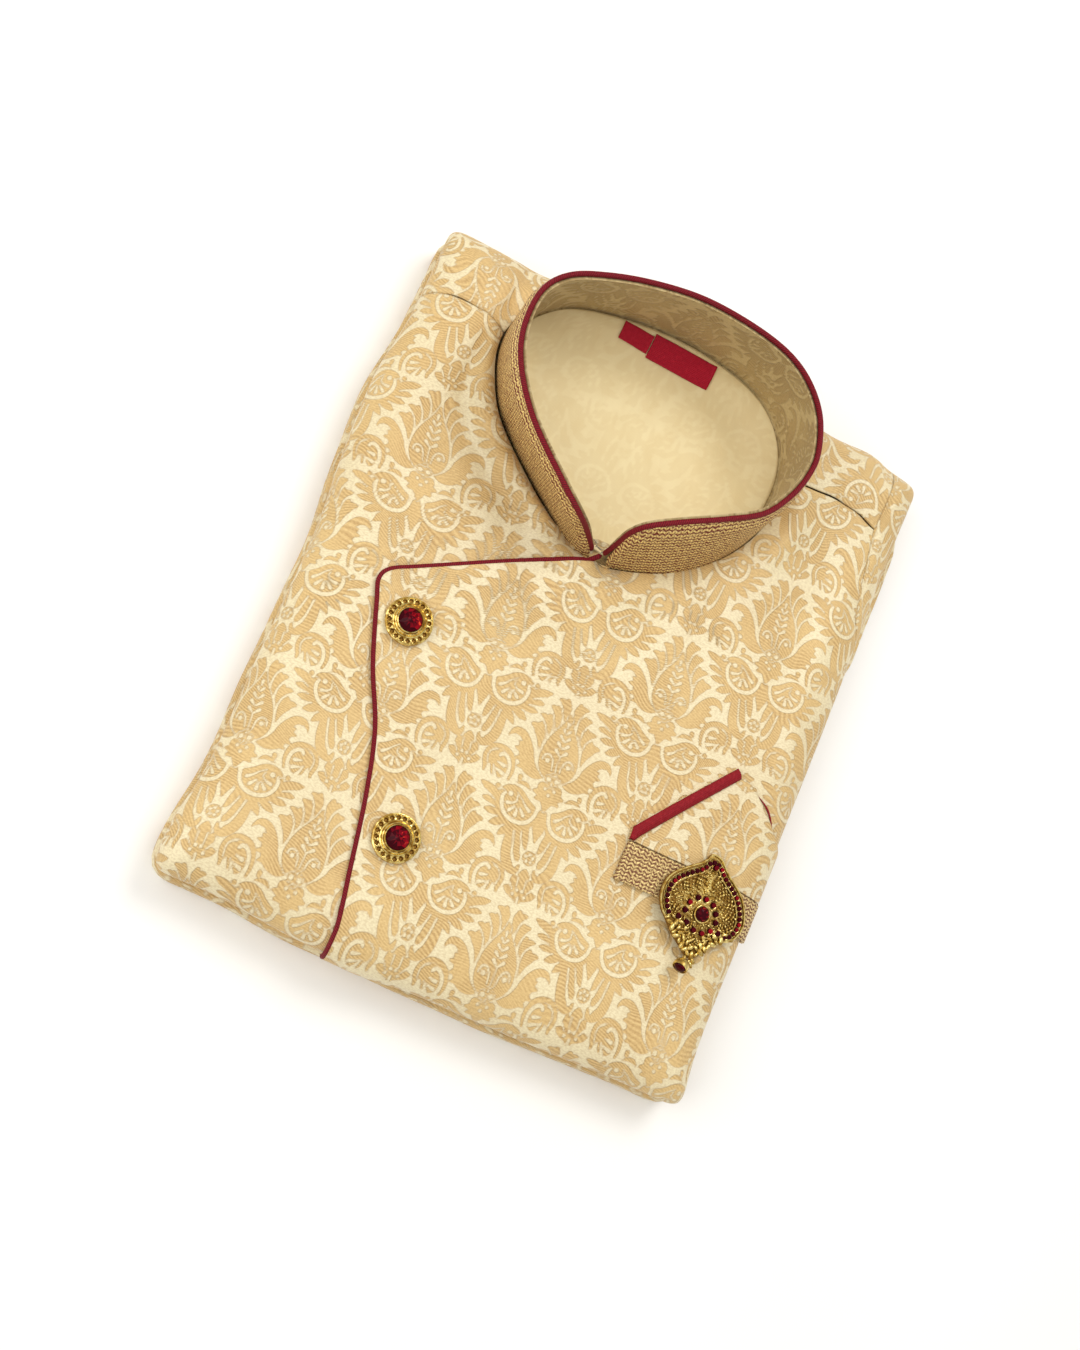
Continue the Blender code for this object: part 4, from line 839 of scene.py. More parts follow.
NECK_SWELL, NECK_SWELL_AT, NECK_SWELL_WIDTH = 1.3, 13.0, 6.0
CREASE_POINTS = 14
RELAXINGS = 60


def relief(places):
    """Soft creases and hollows of the outer cloth, outwards."""
    x, y = places[:, 0], places[:, 1]
    out = np.zeros(len(places))
    for points, height, half_width in CREASES:
        away = distance_to(smooth_line(points, CREASE_POINTS), x, y)
        out += height * np.exp(-(away / half_width)**2)
    away = distance_to(cloth_place(neck_ring(0.0, LONG_LINE)), x, y)
    out -= NECK_GROOVE * np.exp(-(away / NECK_GROOVE_WIDTH)**2)
    return out + NECK_SWELL * np.exp(-((away - NECK_SWELL_AT) / NECK_SWELL_WIDTH)**2)


def relaxed(places, columns):
    """Places of a grid evened out inside its borders."""
    grid = places.reshape(-1, columns + 1, 2).copy()
    for _ in range(RELAXINGS):
        grid[1:-1, 1:-1] = (grid[:-2, 1:-1] + grid[2:, 1:-1] + grid[1:-1, :-2]
                            + grid[1:-1, 2:]) / 4
    return grid.reshape(-1, 2)


def overlap_lift(places):
    """Lift of the upper front where the lower front lies under it."""
    away = distance_to(overlap_line(0, LINE), places[:, 0], places[:, 1])
    return (CLOTH_WALL + OVERLAP_GAP) * (1 - eased((away - LIFT_FULL) / LIFT_FADE))


def cloth_piece(name, borders, look, lift=None):
    """A hemmed sheet of outer cloth filling its border lines."""
    left, right, bottom, top = borders
    fill = patch(left, right, bottom, top)

    def surface(across, up):
        places = relaxed(fill(across, up), len(bottom) - 1)
        a, b = places[:, 0], places[:, 1]
        out = relief(places) + (lift(places) if lift else 0.0)
        return cloth_point(a, b) + cloth_normal(a, b) * out[:, None], places
    shape = hemmed(bent_grid(len(bottom) - 1, len(left) - 1, surface), CLOTH_HEM)
    return own_mesh(name, shape, look)


def front_right_borders():
    """The lower front, on the left of the fold, reaching a little way under the upper one."""
    arc = spaced(neck_arc(NECK_LEFT, NECK_FRONT_LEFT, SHORT_LINE))
    seam = spaced(left_seam(arc[0], -SEAM_HALF, LINE))
    arc[0] -= (0, SEAM_HALF)
    seam[-1] = arc[0]
    under = overlap_line(0, LINE)[2:] + UNDERLAP
    under[-1] = (under[-1, 0], RIM_BOTTOM)
    hidden = spaced(np.vstack([arc[-1:], UNDER_NECK, under]))
    right = joined(arc, hidden)
    corner = np.array((RIM_LEFT, RIM_BOTTOM))
    left = matched([seam[0], corner], right)
    bottom = spaced([corner, right[-1]])
    return left[::-1], right[::-1], bottom, matched(seam, bottom)


def front_left_borders():
    """The upper front, on the right of the fold, from its piped edge to the side fold."""
    arc = spaced(neck_arc(NECK_RIGHT, NECK_FRONT_RIGHT, SHORT_LINE))
    top = spaced(right_seam(arc[0], -SEAM_HALF, LINE))
    arc[0] -= (0, SEAM_HALF)
    armhole = spaced(armhole_line(-SEAM_HALF, True, SHORT_LINE))
    armhole[0] -= (0, SEAM_HALF)
    top[0] = arc[0]
    top[-1] = armhole[0]
    edge = spaced(overlap_line(FRONT_CORD_RADIUS * CORD_SHARE_PAST_EDGE, EDGE_LINE))
    edge[0] = arc[-1]
    left = joined(arc, edge)
    corner = np.array((RIM_RIGHT, RIM_BOTTOM))
    side = resample([(RIM_RIGHT, ARMHOLE_FOOT - SIDE_STEP), corner], len(left) - len(armhole))
    right = np.vstack([armhole, side])
    wide = spaced([left[-1], corner])
    return left[::-1], right[::-1], wide, matched(top, wide)


def yoke_borders():
    """The back where it comes over the top fold to the shoulder seams, round the neck."""
    arc = spaced(neck_arc(NECK_LEFT, NECK_RIGHT, LONG_LINE))
    seam = spaced(left_seam(arc[0], SEAM_HALF, LINE))
    far_seam = spaced(right_seam(arc[-1], SEAM_HALF, LINE))
    right = spaced(armhole_line(-SEAM_HALF, False, LINE))
    for line, end in ((arc, 0), (arc, -1), (right, -1)):
        line[end] += (0, SEAM_HALF)
    seam[-1] = arc[0]
    far_seam[0] = arc[-1]
    far_seam[-1] = right[-1]
    bottom = joined(seam, arc, far_seam)
    top = np.column_stack([bottom[:, 0], np.full(len(bottom), RIM_TOP)])
    top[-1] = right[0]
    return matched([bottom[0], top[0]], right), right[::-1], bottom, top


def sleeve_borders():
    """The head of the wearer's left sleeve, which shows along the side fold."""
    left = spaced(joined(armhole_line(SEAM_HALF, False, LINE),
                         armhole_line(SEAM_HALF, True, LINE)))
    corner = np.array([RIM_RIGHT, RIM_TOP])
    top = spaced([left[0], corner])
    bottom = matched([left[-1], (RIM_RIGHT, left[-1][1])], top)
    return left[::-1], matched([corner, bottom[-1]], left)[::-1], bottom, top


def bowl(x, y):
    """How far the cloth seen through the neck lies below the outer cloth."""
    return LINING_DROP + BOWL_DEPTH * eased(neck_depth(x, y) / BOWL_SLOPE)


def neck_cloth(x, y):
    place = cloth_place(np.column_stack([x, y]))
    level = cloth_point(place[:, 0], place[:, 1])[:, 2]
    return np.column_stack([x, y, level - bowl(x, y)])


def inside_back(look):
    """The inside of the back, a shallow hollow within the neck."""
    ring = neck_ring(-INNER_EDGE, INSIDE_NECK_STEPS)[INSIDE_TRIM:-INSIDE_TRIM]
    left, right = ring[:INSIDE_FIRST_CORNER + 1], ring[INSIDE_LAST_CORNER:]
    top = ring[INSIDE_FIRST_CORNER:INSIDE_LAST_CORNER + 1]
    left, top = spaced(left, INSIDE_STEP), spaced(top, INSIDE_STEP)
    right = matched(right, left)
    fill = patch(left, right[::-1], matched([left[0], right[-1]], top), top)

    def surface(across, up):
        plan = fill(across, up)
        return neck_cloth(plan[:, 0], plan[:, 1]), plan
    shape = hemmed(bent_grid(len(top) - 1, len(left) - 1, surface), INSIDE_HEM)
    return own_mesh("inside_back_cloth", shape, look)


# ---- the folded layers below ----

LAYER_STEPS = 460
# Name, underside, top, reach past the roll, plies, extra reach at the right
LAYERS = (("folded_back_layer", 6.35, 12.2, 1.6, 2, 6.0),
          ("folded_skirt_layer", 0.0, 6.2, 1.2, 3, 0.0))
LAYER_INSET, LAYER_ROUND = 3.5, 0.6
PLY_DENT, PLY_ROUND = 0.9, 0.5
# Unevenness of a layer's edge: waves round it, how they change with height, size
LAYER_UNEVEN = ((9, 5, 0.245), (23, 3, 0.175))
LAYER_TOP_SHARE, LAYER_PROFILE = 0.12, 36
RIGHT_LAYER_FROM, RIGHT_LAYER_TO, RIGHT_LAYER_FADE = 40.0, 150.0, 28.0


def fold_outline(count):
    """The plan line round the fold's lowest edge, and its outward direction."""
    step = count // 4
    rises = np.linspace(0, 1, step, endpoint=False)
    wide, tall = RIM_RIGHT - RIM_LEFT, RIM_TOP - RIM_BOTTOM
    places = np.vstack([np.column_stack([RIM_LEFT + wide * rises, np.full(step, RIM_BOTTOM)]),
                        np.column_stack([np.full(step, RIM_RIGHT), RIM_BOTTOM + tall * rises]),
                        np.column_stack([RIM_RIGHT - wide * rises, np.full(step, RIM_TOP)]),
                        np.column_stack([np.full(step, RIM_LEFT), RIM_TOP - tall * rises])])
    rim = cloth_point(places[:, 0], places[:, 1])[:, :2]
    rim = resample(np.vstack([rim, rim[:1]]), count + 1)[:-1]
    run = np.roll(rim, -1, axis=0) - np.roll(rim, 1, axis=0)
    run /= np.linalg.norm(run, axis=1)[:, None]
    return rim, np.column_stack([run[:, 1], -run[:, 0]])


def folded_layer(name, low, high, reach, plies, right_out, look):
    """One flat fold of the coat: rounded plies at its edge and a level face above and below."""
    rim, outwards = fold_outline(LAYER_STEPS)
    rim, outwards = (np.vstack([line, line[:1]]) for line in (rim, outwards))
    to_fold = TUCK_IN * (1 - math.sin(TUCK_ANGLE))
    fade = RIGHT_LAYER_FADE
    stretch = (eased((rim[:, 1] - RIGHT_LAYER_FROM) / fade)
               * eased((RIGHT_LAYER_TO - rim[:, 1]) / fade) * (rim[:, 0] > FOLD_RIGHT - ROLL_RIGHT))
    centre = rim.mean(axis=0)
    middle, half = (low + high) / 2, (high - low) / 2

    def surface(across, up):
        at = across * LAYER_STEPS
        steps = np.arange(LAYER_STEPS + 1)
        turn = across * 2 * math.pi
        ring = np.column_stack([np.interp(at, steps, rim[:, k]) for k in range(2)])
        away = np.column_stack([np.interp(at, steps, outwards[:, k]) for k in range(2)])
        edge = np.clip((up - LAYER_TOP_SHARE) / (1 - 2 * LAYER_TOP_SHARE), 0, 1)
        angle = edge * math.pi
        ply = np.abs(np.sin(edge * math.pi * plies))**PLY_ROUND
        (waves, slide, size), (more_waves, more_slide, more_size) = LAYER_UNEVEN
        uneven = (size * np.sin(waves * turn + slide * low)
                  + more_size * np.sin(more_waves * turn + more_slide * high))
        bulge = (reach + LAYER_INSET - PLY_DENT * (1 - ply) + uneven
                 + right_out * np.interp(at, steps, stretch))
        out = to_fold - LAYER_INSET + bulge * np.sin(angle)**LAYER_ROUND
        z = middle + half * np.cos(angle)
        cap = np.where(up < 0.5, up, 1 - up) / LAYER_TOP_SHARE
        inwards = np.clip(cap, 0, 1)[:, None]
        plan = centre + (ring + away * out[:, None] - centre) * inwards
        return np.column_stack([plan, z]), plan + away * (middle - z)[:, None]
    shape = bent_grid(LAYER_STEPS, LAYER_PROFILE, surface)
    bmesh.ops.remove_doubles(shape, verts=shape.verts, dist=WELD)
    bmesh.ops.recalc_face_normals(shape, faces=shape.faces)
    return own_mesh(name, shape, look)


# ---- the collar ----

COLLAR_STATIONS, LEAST_BAND = 900, 1.0
BAND_LENGTH, BAND_HEIGHT = 400, 38


def collar_surface(outwards, foot, head, tuck, lean_in):
    """A surface on the collar, moved out from its middle, from its foot to below its edge."""
    base, edge = collar_curve(COLLAR_STATIONS)
    rise = edge - base
    height = np.linalg.norm(rise, axis=1)
    lean = rise / height[:, None]
    run = np.concatenate([[0], np.cumsum(np.linalg.norm(np.diff(base[:, :2], axis=0), axis=1))])
    along, up_rate = np.gradient(run), np.gradient(height)
    size = np.hypot(along, up_rate)
    inner_run = run + up_rate / size * head
    inner_height = height - along / size * head
    keep = np.concatenate([[True], np.diff(np.maximum.accumulate(inner_run)) > 1e-6])
    inner = resample(np.column_stack([inner_run, inner_height])[keep], COLLAR_STATIONS // 2)
    at = np.clip(inner[:, 0], 0, run[-1])
    foot_line = np.column_stack([np.interp(at, run, base[:, k]) for k in range(3)])
    lean_line = np.column_stack([np.interp(at, run, lean[:, k]) for k in range(3)])
    top = np.maximum(inner[:, 1], foot + LEAST_BAND)
    normal = np.cross(lean_line, np.gradient(foot_line, axis=0))
    normal /= np.linalg.norm(normal, axis=1)[:, None]
    stations = np.linspace(0, 1, len(at))

    def surface(across, up):
        def between(values):
            return np.column_stack([np.interp(across, stations, values[:, k]) for k in range(3)])
        reach = foot + (np.interp(across, stations, top) - foot) * up
        place = np.column_stack([np.interp(across, stations, at), reach])
        left = np.interp(across, stations, top) - reach
        out = outwards - tuck * (1 - eased(left / lean_in))
        points = between(foot_line) + between(lean_line) * reach[:, None]
        return points + between(normal) * np.reshape(out, (-1, 1)), place
    return surface


def collar_band(name, surface, step, hem, look, flip):
    """One cloth of the collar with turned edges; flip turns its face outwards."""
    shape = bent_grid(round(BAND_LENGTH / step), round(BAND_HEIGHT / step), surface, flip)
    return own_mesh(name, hemmed(shape, hem), look)


# ---- what lies on the cloth ----

def on_cloth(places, trees, lift):
    a, b = places[:, 0], places[:, 1]
    return seated(cloth_point(a, b), cloth_normal(a, b), trees, lift)


def laid_sheet(name, borders, steps, trees, lift, wall, look, swell=None):
    """A closed thin sheet lying on the pieces below it."""
    fill = patch(*borders)

    def surface(across, up):
        places = fill(across, up)
        rise = swell(across, up) if swell else np.zeros(len(places))
        points = on_cloth(places, trees, lift + wall)
        return points + cloth_normal(places[:, 0], places[:, 1]) * rise[:, None], places
    return walled(own_mesh(name, bent_grid(*steps, surface), look), wall)


def front_piping(lower, look):
    """The cord on the overlap's edge, rising at the neck to meet the collar's cord."""
    line = overlap_line(0, FRONT_CORD_LINE)[6:-4]
    points = on_cloth(line, [surface_of(lower)], FRONT_CORD_RADIUS + FRONT_CORD_LIFT)
    _, edge = collar_curve(COLLAR_LINE)
    rise = smooth_line(np.vstack([edge[-1] + PIPING_MEET, points[0], points[4]]), 10)[:-2]
    return tube("front_edge_piping", np.vstack([rise, points[4:]]), FRONT_CORD_RADIUS, look)


def collar_piping(look):
    """The cord on the collar's edge."""
    _, edge = collar_curve(COLLAR_LINE)
    line = np.vstack([edge[0] + PIPING_END, edge])
    return tube("collar_edge_piping", resample(line, COLLAR_CORD_LINE), PIPING_RADIUS, look)


def welt_borders():
    """The pocket's braid band, from its free end to the side fold."""
    edge = RIM_RIGHT - WELT_SHORT
    left_foot, right_foot = (WELT_LEFT, WELT_BOTTOM), (edge, WELT_BOTTOM)
    left_top, right_top = (WELT_LEFT, WELT_TOP), (edge, WELT_TOP)
    sides = ((left_foot, left_top), (right_foot, right_top), (left_foot, right_foot),
             (left_top, right_top))
    return tuple(np.array(side) for side in sides)


def bent_line(foot, corner, end):
    return joined(straight(foot, corner, BEND_FOOT), straight(corner, end, BEND_SIDE))


def square_borders():
    """The pocket square, from just above the welt to its peak and the side fold."""
    low = WELT_TOP + 2 * GAP
    corner, peak, *right = cloth_place(np.array([SQUARE_CORNER, SQUARE_PEAK, *SQUARE_RIGHT], float))
    foot = np.array((corner[0] + GAP, low))
    side = np.array((RIM_RIGHT - WELT_SHORT, SQUARE_SIDE))
    top = resample(np.vstack([peak, *right, side]), LINE)
    bottom = straight(foot, (side[0], low), LINE)
    left = bent_line(foot, corner, peak)
    return left, straight(bottom[-1], side, len(left)), bottom, top


def edging_borders():
    """The maroon edging along the square's long free side, turned down to the welt."""
    outer = square_borders()[0]
    corner, peak = cloth_place(np.array([EDGING_INNER_CORNER, EDGING_INNER_PEAK], float))
    inner = bent_line(outer[0] + (EDGING_RETURN, 0), corner, peak)
    return (outer, inner, straight(outer[0], inner[0], EDGING_CELLS),
            straight(outer[-1], inner[-1], EDGING_CELLS))


def side_edge_borders():
    """The thin end of the edging that shows along the square's other side."""
    line = smooth_line(cloth_place(np.array(SIDE_EDGE, float)), SIDE_EDGE_LINE)
    widths = SIDE_EDGE_BULGE * np.sin(np.linspace(0.03, 0.97, SIDE_EDGE_LINE) * math.pi)
    run = np.gradient(line, axis=0)
    out = np.column_stack([-run[:, 1], run[:, 0]]) / np.linalg.norm(run, axis=1)[:, None]
    outer = line + out * widths[:, None]
    return (outer, line, straight(outer[0], line[0], EDGING_CELLS),
            straight(outer[-1], line[-1], EDGING_CELLS))


def rolled_edge(across, up):
    return EDGING_SWELL * np.sin(across * math.pi)


def label(name, sides, hang, ground, look):
    """A bare woven tape on the inside back, its sides lifting a little."""
    x0, x1, y0, y1 = sides
    y0 -= hang
    tree = surface_of(ground)

    def surface(across, up):
        plan = np.column_stack([x0 + (x1 - x0) * across, y0 + (y1 - y0) * up])
        points = neck_cloth(plan[:, 0], plan[:, 1])
        upwards = np.tile((0.0, 0.0, 1.0), (len(points), 1))
        edge = np.minimum(np.minimum(across, 1 - across) * (x1 - x0), up * (y1 - y0))
        rise = (LABEL_CURL * (1 - eased(edge / LABEL_CURL_REACH))
                + LABEL_WAVE * np.sin(across * LABEL_WAVES))
        landed = seated(points, upwards, [tree], LABEL_GAP + LABEL_WALL)
        return landed + upwards * rise[:, None], plan
    return walled(own_mesh(name, bent_grid(*LABEL_CELLS, surface), look), LABEL_WALL)


# Hand stitches at the centre front: middle in plan, turn in degrees, half length
CENTRE_STITCHES = ((-15.5, 52.5, 60, 1.4), (-13.6, 51.5, -30, 1.5), (-12.2, 50, 75, 1.3),
                   (-10.6, 49.6, -15, 1.6), (-8.6, 48.6, 55, 1.3), (-13, 53.6, 10, 1.2),
                   (-7.2, 49.8, -50, 1.3))
THREAD_HALF, THREAD_LIFT, STITCH_FROM = 0.26, 0.3, 60.0


def stitches(name, rows, tree, look):
    """Short threads lying on the cloth."""
    shape = bmesh.new()
    for x, y, turn, half in rows:
        start = Vector((x + FOLD_SHIFT[0], y + FOLD_SHIFT[1], STITCH_FROM)) * MM
        hit = tree.ray_cast(start, Vector((0, 0, -1)), STITCH_FROM * MM)[0]
        if hit is not None:
            bead(shape, hit / MM + Vector((0, 0, THREAD_LIFT)), half,
                 (1, THREAD_HALF / half, THREAD_HALF / half), math.radians(turn), 2)
    bmesh.ops.scale(shape, vec=(MM, MM, MM), verts=shape.verts)
    return own_mesh(name, shape, look)


def seat_on(centre, foot, trees, lift, tilt=0.0):
    """A frame for a piece that stands clear on the cloth, from the outline of its foot."""
    place = cloth_place(np.array([centre], float))
    middle = cloth_point(place[:, 0], place[:, 1])[0]
    up = Vector(cloth_normal(place[:, 0], place[:, 1])[0])
    turn = Vector((0, 0, 1)).rotation_difference(up).to_matrix() @ Matrix.Rotation(tilt, 3, "Y")
    up = turn @ Vector((0, 0, 1))
    spots = np.array([np.array(turn @ Vector((x * share, y * share, 0))) + middle for x, y in foot
                      for share in FOOT_SHARES])
    landed = seated(spots, np.tile(up, (len(spots), 1)), trees, 0)
    highest = ((landed - middle) @ np.array(up)).max()
    place = Vector(middle + FOLD_SHIFT) + up * (highest + lift)
    return Matrix.Translation(place * MM) @ turn.to_4x4()


# ---- metal and stones ----

def placed(name, shape, seat, look, sharp=None, hollow=None):
    """A piece shaped in millimetres about its own foot, its hollows marked for painted shade, in
    its seat.
    """
    # the hollow attribute carries painted shade: how far each point lies in a hollow that the gilt
    # darkens
    if hollow:
        depth = shape.verts.layers.float.new("hollow")
        for knot in shape.verts:
            knot[depth] = hollow(*knot.co)
    bmesh.ops.scale(shape, vec=(MM, MM, MM), verts=shape.verts)
    bmesh.ops.transform(shape, matrix=seat, verts=shape.verts)
    made = own_mesh(name, shape, look)
    if sharp is not None:
        made.data.set_sharp_from_angle(angle=math.radians(sharp))
    return made


def merged(shape, other):
    """Adds one bmesh to another."""
    spare = bpy.data.meshes.new("spare")
    other.to_mesh(spare)
    other.free()
    shape.from_mesh(spare)
    bpy.data.meshes.remove(spare)


def round_relief(around, steps, profile, relief):
    """A closed round body: a profile of (radius, height) turned, its face raised by a relief."""
    run = np.array(profile, float)
    stations = np.linspace(0, 1, len(run))
    shape = bmesh.new()
    bmesh.ops.create_grid(shape, x_segments=around, y_segments=steps, size=0.5)
    for knot in shape.verts:
        turn, share = (knot.co.x + 0.5) * 2 * math.pi, knot.co.y + 0.5
        radius = np.interp(share, stations, run[:, 0])
        height = np.interp(share, stations, run[:, 1]) + relief(turn, radius, share)
        knot.co = (radius * math.cos(turn), radius * math.sin(turn), height)
    bmesh.ops.remove_doubles(shape, verts=shape.verts, dist=WELD_MM)
    bmesh.ops.recalc_face_normals(shape, faces=shape.faces)
    return shape


def cut_stone(rings, sides):
    """A faceted stone: the hull of rings of points given as (radius, height, half turns)."""
    shape = bmesh.new()
    for radius, height, half in rings:
        for k in range(sides):
            turn = (k + half / 2) * 2 * math.pi / sides
            bmesh.ops.create_vert(shape, co=(radius * math.cos(turn), radius * math.sin(turn),
                                             height))
    made = bmesh.ops.convex_hull(shape, input=shape.verts)
    spare = [part for part in made["geom_interior"] + made["geom_unused"]
             if isinstance(part, bmesh.types.BMVert)]
    bmesh.ops.delete(shape, geom=list(set(spare)), context="VERTS")
    bmesh.ops.dissolve_limit(shape, angle_limit=math.radians(1), verts=shape.verts,
                             edges=shape.edges)
    return shape


def hoop(shape, centre, radius, thickness, around=6, steps=14):
    """Adds a closed level ring of wire."""
    ring = bmesh.new()
    bmesh.ops.create_grid(ring, x_segments=around, y_segments=steps, size=0.5)
    for knot in ring.verts:
        turn, along = (knot.co.x + 0.5) * 2 * math.pi, (knot.co.y + 0.5) * 2 * math.pi
        out = radius + thickness * math.cos(turn)
        knot.co = Vector(centre) + Vector((out * math.cos(along), out * math.sin(along),
                                           thickness * math.sin(turn)))
    bmesh.ops.remove_doubles(ring, verts=ring.verts, dist=WELD_MM)
    bmesh.ops.recalc_face_normals(ring, faces=ring.faces)
    merged(shape, ring)


def bead(shape, centre, size, spread=(1, 1, 1), turn=0.0, detail=1):
    seat = (Matrix.Translation(centre) @ Matrix.Rotation(turn, 4, "Z")
            @ Matrix.Diagonal((*spread, 1)))
    bmesh.ops.create_icosphere(shape, subdivisions=detail, radius=size, matrix=seat)


def small_stone(shape, centre, size):
    """Adds an eight-sided chip with a flat table."""
    seat = Matrix.Translation(Vector(centre) + Vector((0, 0, CHIP_RISE * size)))
    bmesh.ops.create_cone(shape, cap_ends=True, segments=8, radius1=size,
                          radius2=CHIP_TABLE * size, depth=2 * CHIP_RISE * size, matrix=seat)


def faceted(stone, middle, spread):
    """Each facet keeps its own brightness from 0 to 1, more on the side toward the light."""
    values = []
    for k, facet in enumerate(stone.data.polygons):
        toward = facet.normal.x * FACET_LIGHT[0] + facet.normal.y * FACET_LIGHT[1]
        values.append(middle + toward + spread * ((k * GOLDEN_STEP) % 1.0 - 0.5))
    facets = stone.data.attributes.new("facet", "FLOAT", "FACE")
    facets.data.foreach_set("value", np.clip(values, 0, 1))
    return stone


CHIP_RISE, CHIP_TABLE = 0.3, 0.78
FACET_LIGHT, GOLDEN_STEP = (0.5, 0.3), 0.381966
BUTTON_FACETS, BROOCH_FACETS = (0.30, 0.7), (0.08, 1.1)
BUTTON_FACE = ((0, 0), (9.4, 0), (10.3, 0.4), (10.8, 1.3), (10.6, 2.1), (10.1, 2.3), (9.8, 2),
               (9.5, 2), (9.1, 2), (8.7, 2), (8.3, 2), (7.9, 2.1), (7.7, 2.8),
               (7.2, 3.1), (6.9, 2.8), (6.7, 3.3), (6.2, 3.6), (6, 3.3), (5.8, 4.2),
               (5.4, 4.5), (5.2, 4.2), (5, 3.6), (0, 3.4))
BUTTON_AROUND, BUTTON_STEPS, BUTTON_FACE_FROM = 200, 66, 0.25
BUTTON_CUPS, CUP_RING, CUP_HALF, CUP_DEPTH = 20, 8.85, (0.8, 0.72), 1.1
CUP_BRIM, CUP_SLOPE, CUPS_ABOVE = 1.3, 0.5, 0.5
RIM_BEAD_OUT, RIM_BEAD_HEIGHT, RIM_BEAD = 0.8, 2.1, 0.5
BUTTON_SHARP, BROOCH_SHARP, STONE_SHARP = 40, 50, 5
BUTTON_STONE = ((4.8, 3.7, 0), (5.2, 4.3, 0), (3.6, 5.6, 1), (1.6, 6.6, 0), (0.3, 7.1, 1))
BUTTON_STONE_SIDES = 12


def cup_share(x, y):
    """How far a place on a button's face is into one of its open cups, from 0 to 1."""
    step = 2 * math.pi / BUTTON_CUPS
    aside = ((math.atan2(y, x) / step + 0.5) % 1.0 - 0.5) * step * CUP_RING
    away = math.hypot(aside / CUP_HALF[0], (math.hypot(x, y) - CUP_RING) / CUP_HALF[1])
    return float(eased((CUP_BRIM - away) / CUP_SLOPE))


def button_relief(turn, radius, share):
    """The cups' depth, on the button's face alone."""
    if share < BUTTON_FACE_FROM:
        return 0.0
    return -CUP_DEPTH * cup_share(radius * math.cos(turn), radius * math.sin(turn))


# painted shade: darkens the gilt inside the button's open cups
def button_hollow_shade(x, y, z):
    return cup_share(x, y) if z > CUPS_ABOVE else 0.0


def button(name, centre, trees, metal, stone):
    """A round button: a smooth rim, a ring of open cups, a bezel and a pointed cut stone."""
    turns = np.linspace(0, 2 * math.pi, FOOT_POINTS)
    foot = [(BUTTON_FOOT * math.cos(t), BUTTON_FOOT * math.sin(t)) for t in turns]
    seat = seat_on(centre, foot, trees, GAP)
    body = round_relief(BUTTON_AROUND, BUTTON_STEPS, BUTTON_FACE, button_relief)
    for k in range(BUTTON_CUPS):
        turn = 2 * math.pi * (k + 0.5) / BUTTON_CUPS
        out = CUP_RING + RIM_BEAD_OUT
        bead(body, (out * math.cos(turn), out * math.sin(turn), RIM_BEAD_HEIGHT), RIM_BEAD)
    gem = cut_stone(BUTTON_STONE, BUTTON_STONE_SIDES)
    return (placed(name + "_body", body, seat, metal, BUTTON_SHARP, button_hollow_shade),
            faceted(placed(name + "_gem", gem, seat, stone, STONE_SHARP), *BUTTON_FACETS))


# The brooch's outline, its upper part first, and the places of its stones
BROOCH_EDGE = ((-16.5, -9), (-19.5, -6.4), (-21.9, -2.3), (-22.9, 1.8), (-22.6, 6.1),
               (-20.9, 9.9), (-17.8, 13.3), (-13.5, 16.9), (-9.7, 19.8), (-7.1, 22.7),
               (-5.6, 25.6), (-2.6, 26), (0.4, 25), (2.8, 22.7), (6.7, 19.8), (11.5, 17),
               (15.3, 14.1), (18.4, 10.1), (20.5, 5.8), (21.3, 1.4), (20.4, -2.3), (18.2, -6.1),
               (13.8, -8.5), (10.1, -12.1), (7.2, -15.9), (4.4, -19.7), (0.4, -21.1),
               (-3.5, -18.9), (-7.6, -16.2), (-11.2, -13.9), (-13.9, -11.4))
BROOCH_UPPER = 23
BROOCH_MIDDLE = np.array((-0.8, -1.2))
BROOCH_RINGS = ((1.0, 0.0), (1.0, 1.1), (0.96, 1.4), (0.84, 1.4), (0.45, 2.1), (0.0, 2.5))
# Wires round the upper outline: share of its size, height, thickness
BROOCH_WIRES = ((0.985, 1.7, 0.45), (0.93, 1.6, 0.32), (0.795, 2.2, 0.38))
CHIP_ROW, CHIP_ROW_SHARE, CHIP_SIZE, CHIP_HEIGHT = 35, 0.862, 1.2, 2.2
RING_CHIPS = ((-5.1, 5), (-1.2, 5.7), (3.1, 4.7), (5.8, 1.6), (7.2, -2), (10, -5.9),
              (6, -6.4), (2.5, -8.9), (-1.9, -9.1), (-6.3, -7.2), (-11, -6.3), (-9, -2.5),
              (-8.3, 1.5), (-2.2, 20.4))
RING_CHIP_SIZE, CUP_EDGE, CUP_GAP, CHIP_UP, CUP_UP = 1.45, 0.2, 0.15, 0.4, 0.1
BROOCH_STONE = ((3.0, 0, 0), (3.3, 0.7, 0), (2.5, 1.7, 1), (1.4, 2.2, 0))
BROOCH_TOP, BROOCH_BEZEL, BEZEL_RISE, BEZEL_WIRE = 3.0, 3.8, 0.4, 0.45
PLATE_AROUND, PLATE_STEPS, BROOCH_FOOT, WIRE_POINTS = 240, 16, 41, 160
CHIP_ROW_POINTS, LEAF_ROW_POINTS = 200, 90
CUP_CELLS, BEZEL_CELLS, DROP_CELLS = (5, 12), (8, 48), (32, 24)
BROOCH_STONE_SIDES, DROP_STONE_SIDES = 10, 8
# Painted shade of the brooch's hollows: where it starts, how it falls off outwards, how soft it is
HOLLOW_SHADE_FROM, HOLLOW_SHADE_FALL, HOLLOW_SHADE_SLOPE = 2.2, 0.045, 0.6
GRANULES, GRANULE_SHARE, GRANULE_LEVEL, GRANULE_SWELL = 400, 0.77, 2.4, 0.3
GRANULE_SIZE, GRANULE_CHANGE, GRANULE_CLEAR, GRANULE_RING = 0.85, 0.2, 0.5, 4.4
GRANULE_FORM, GRANULE_WAVE, GRANULE_TURN = (1, 0.5, 0.7), 1.7, 0.37
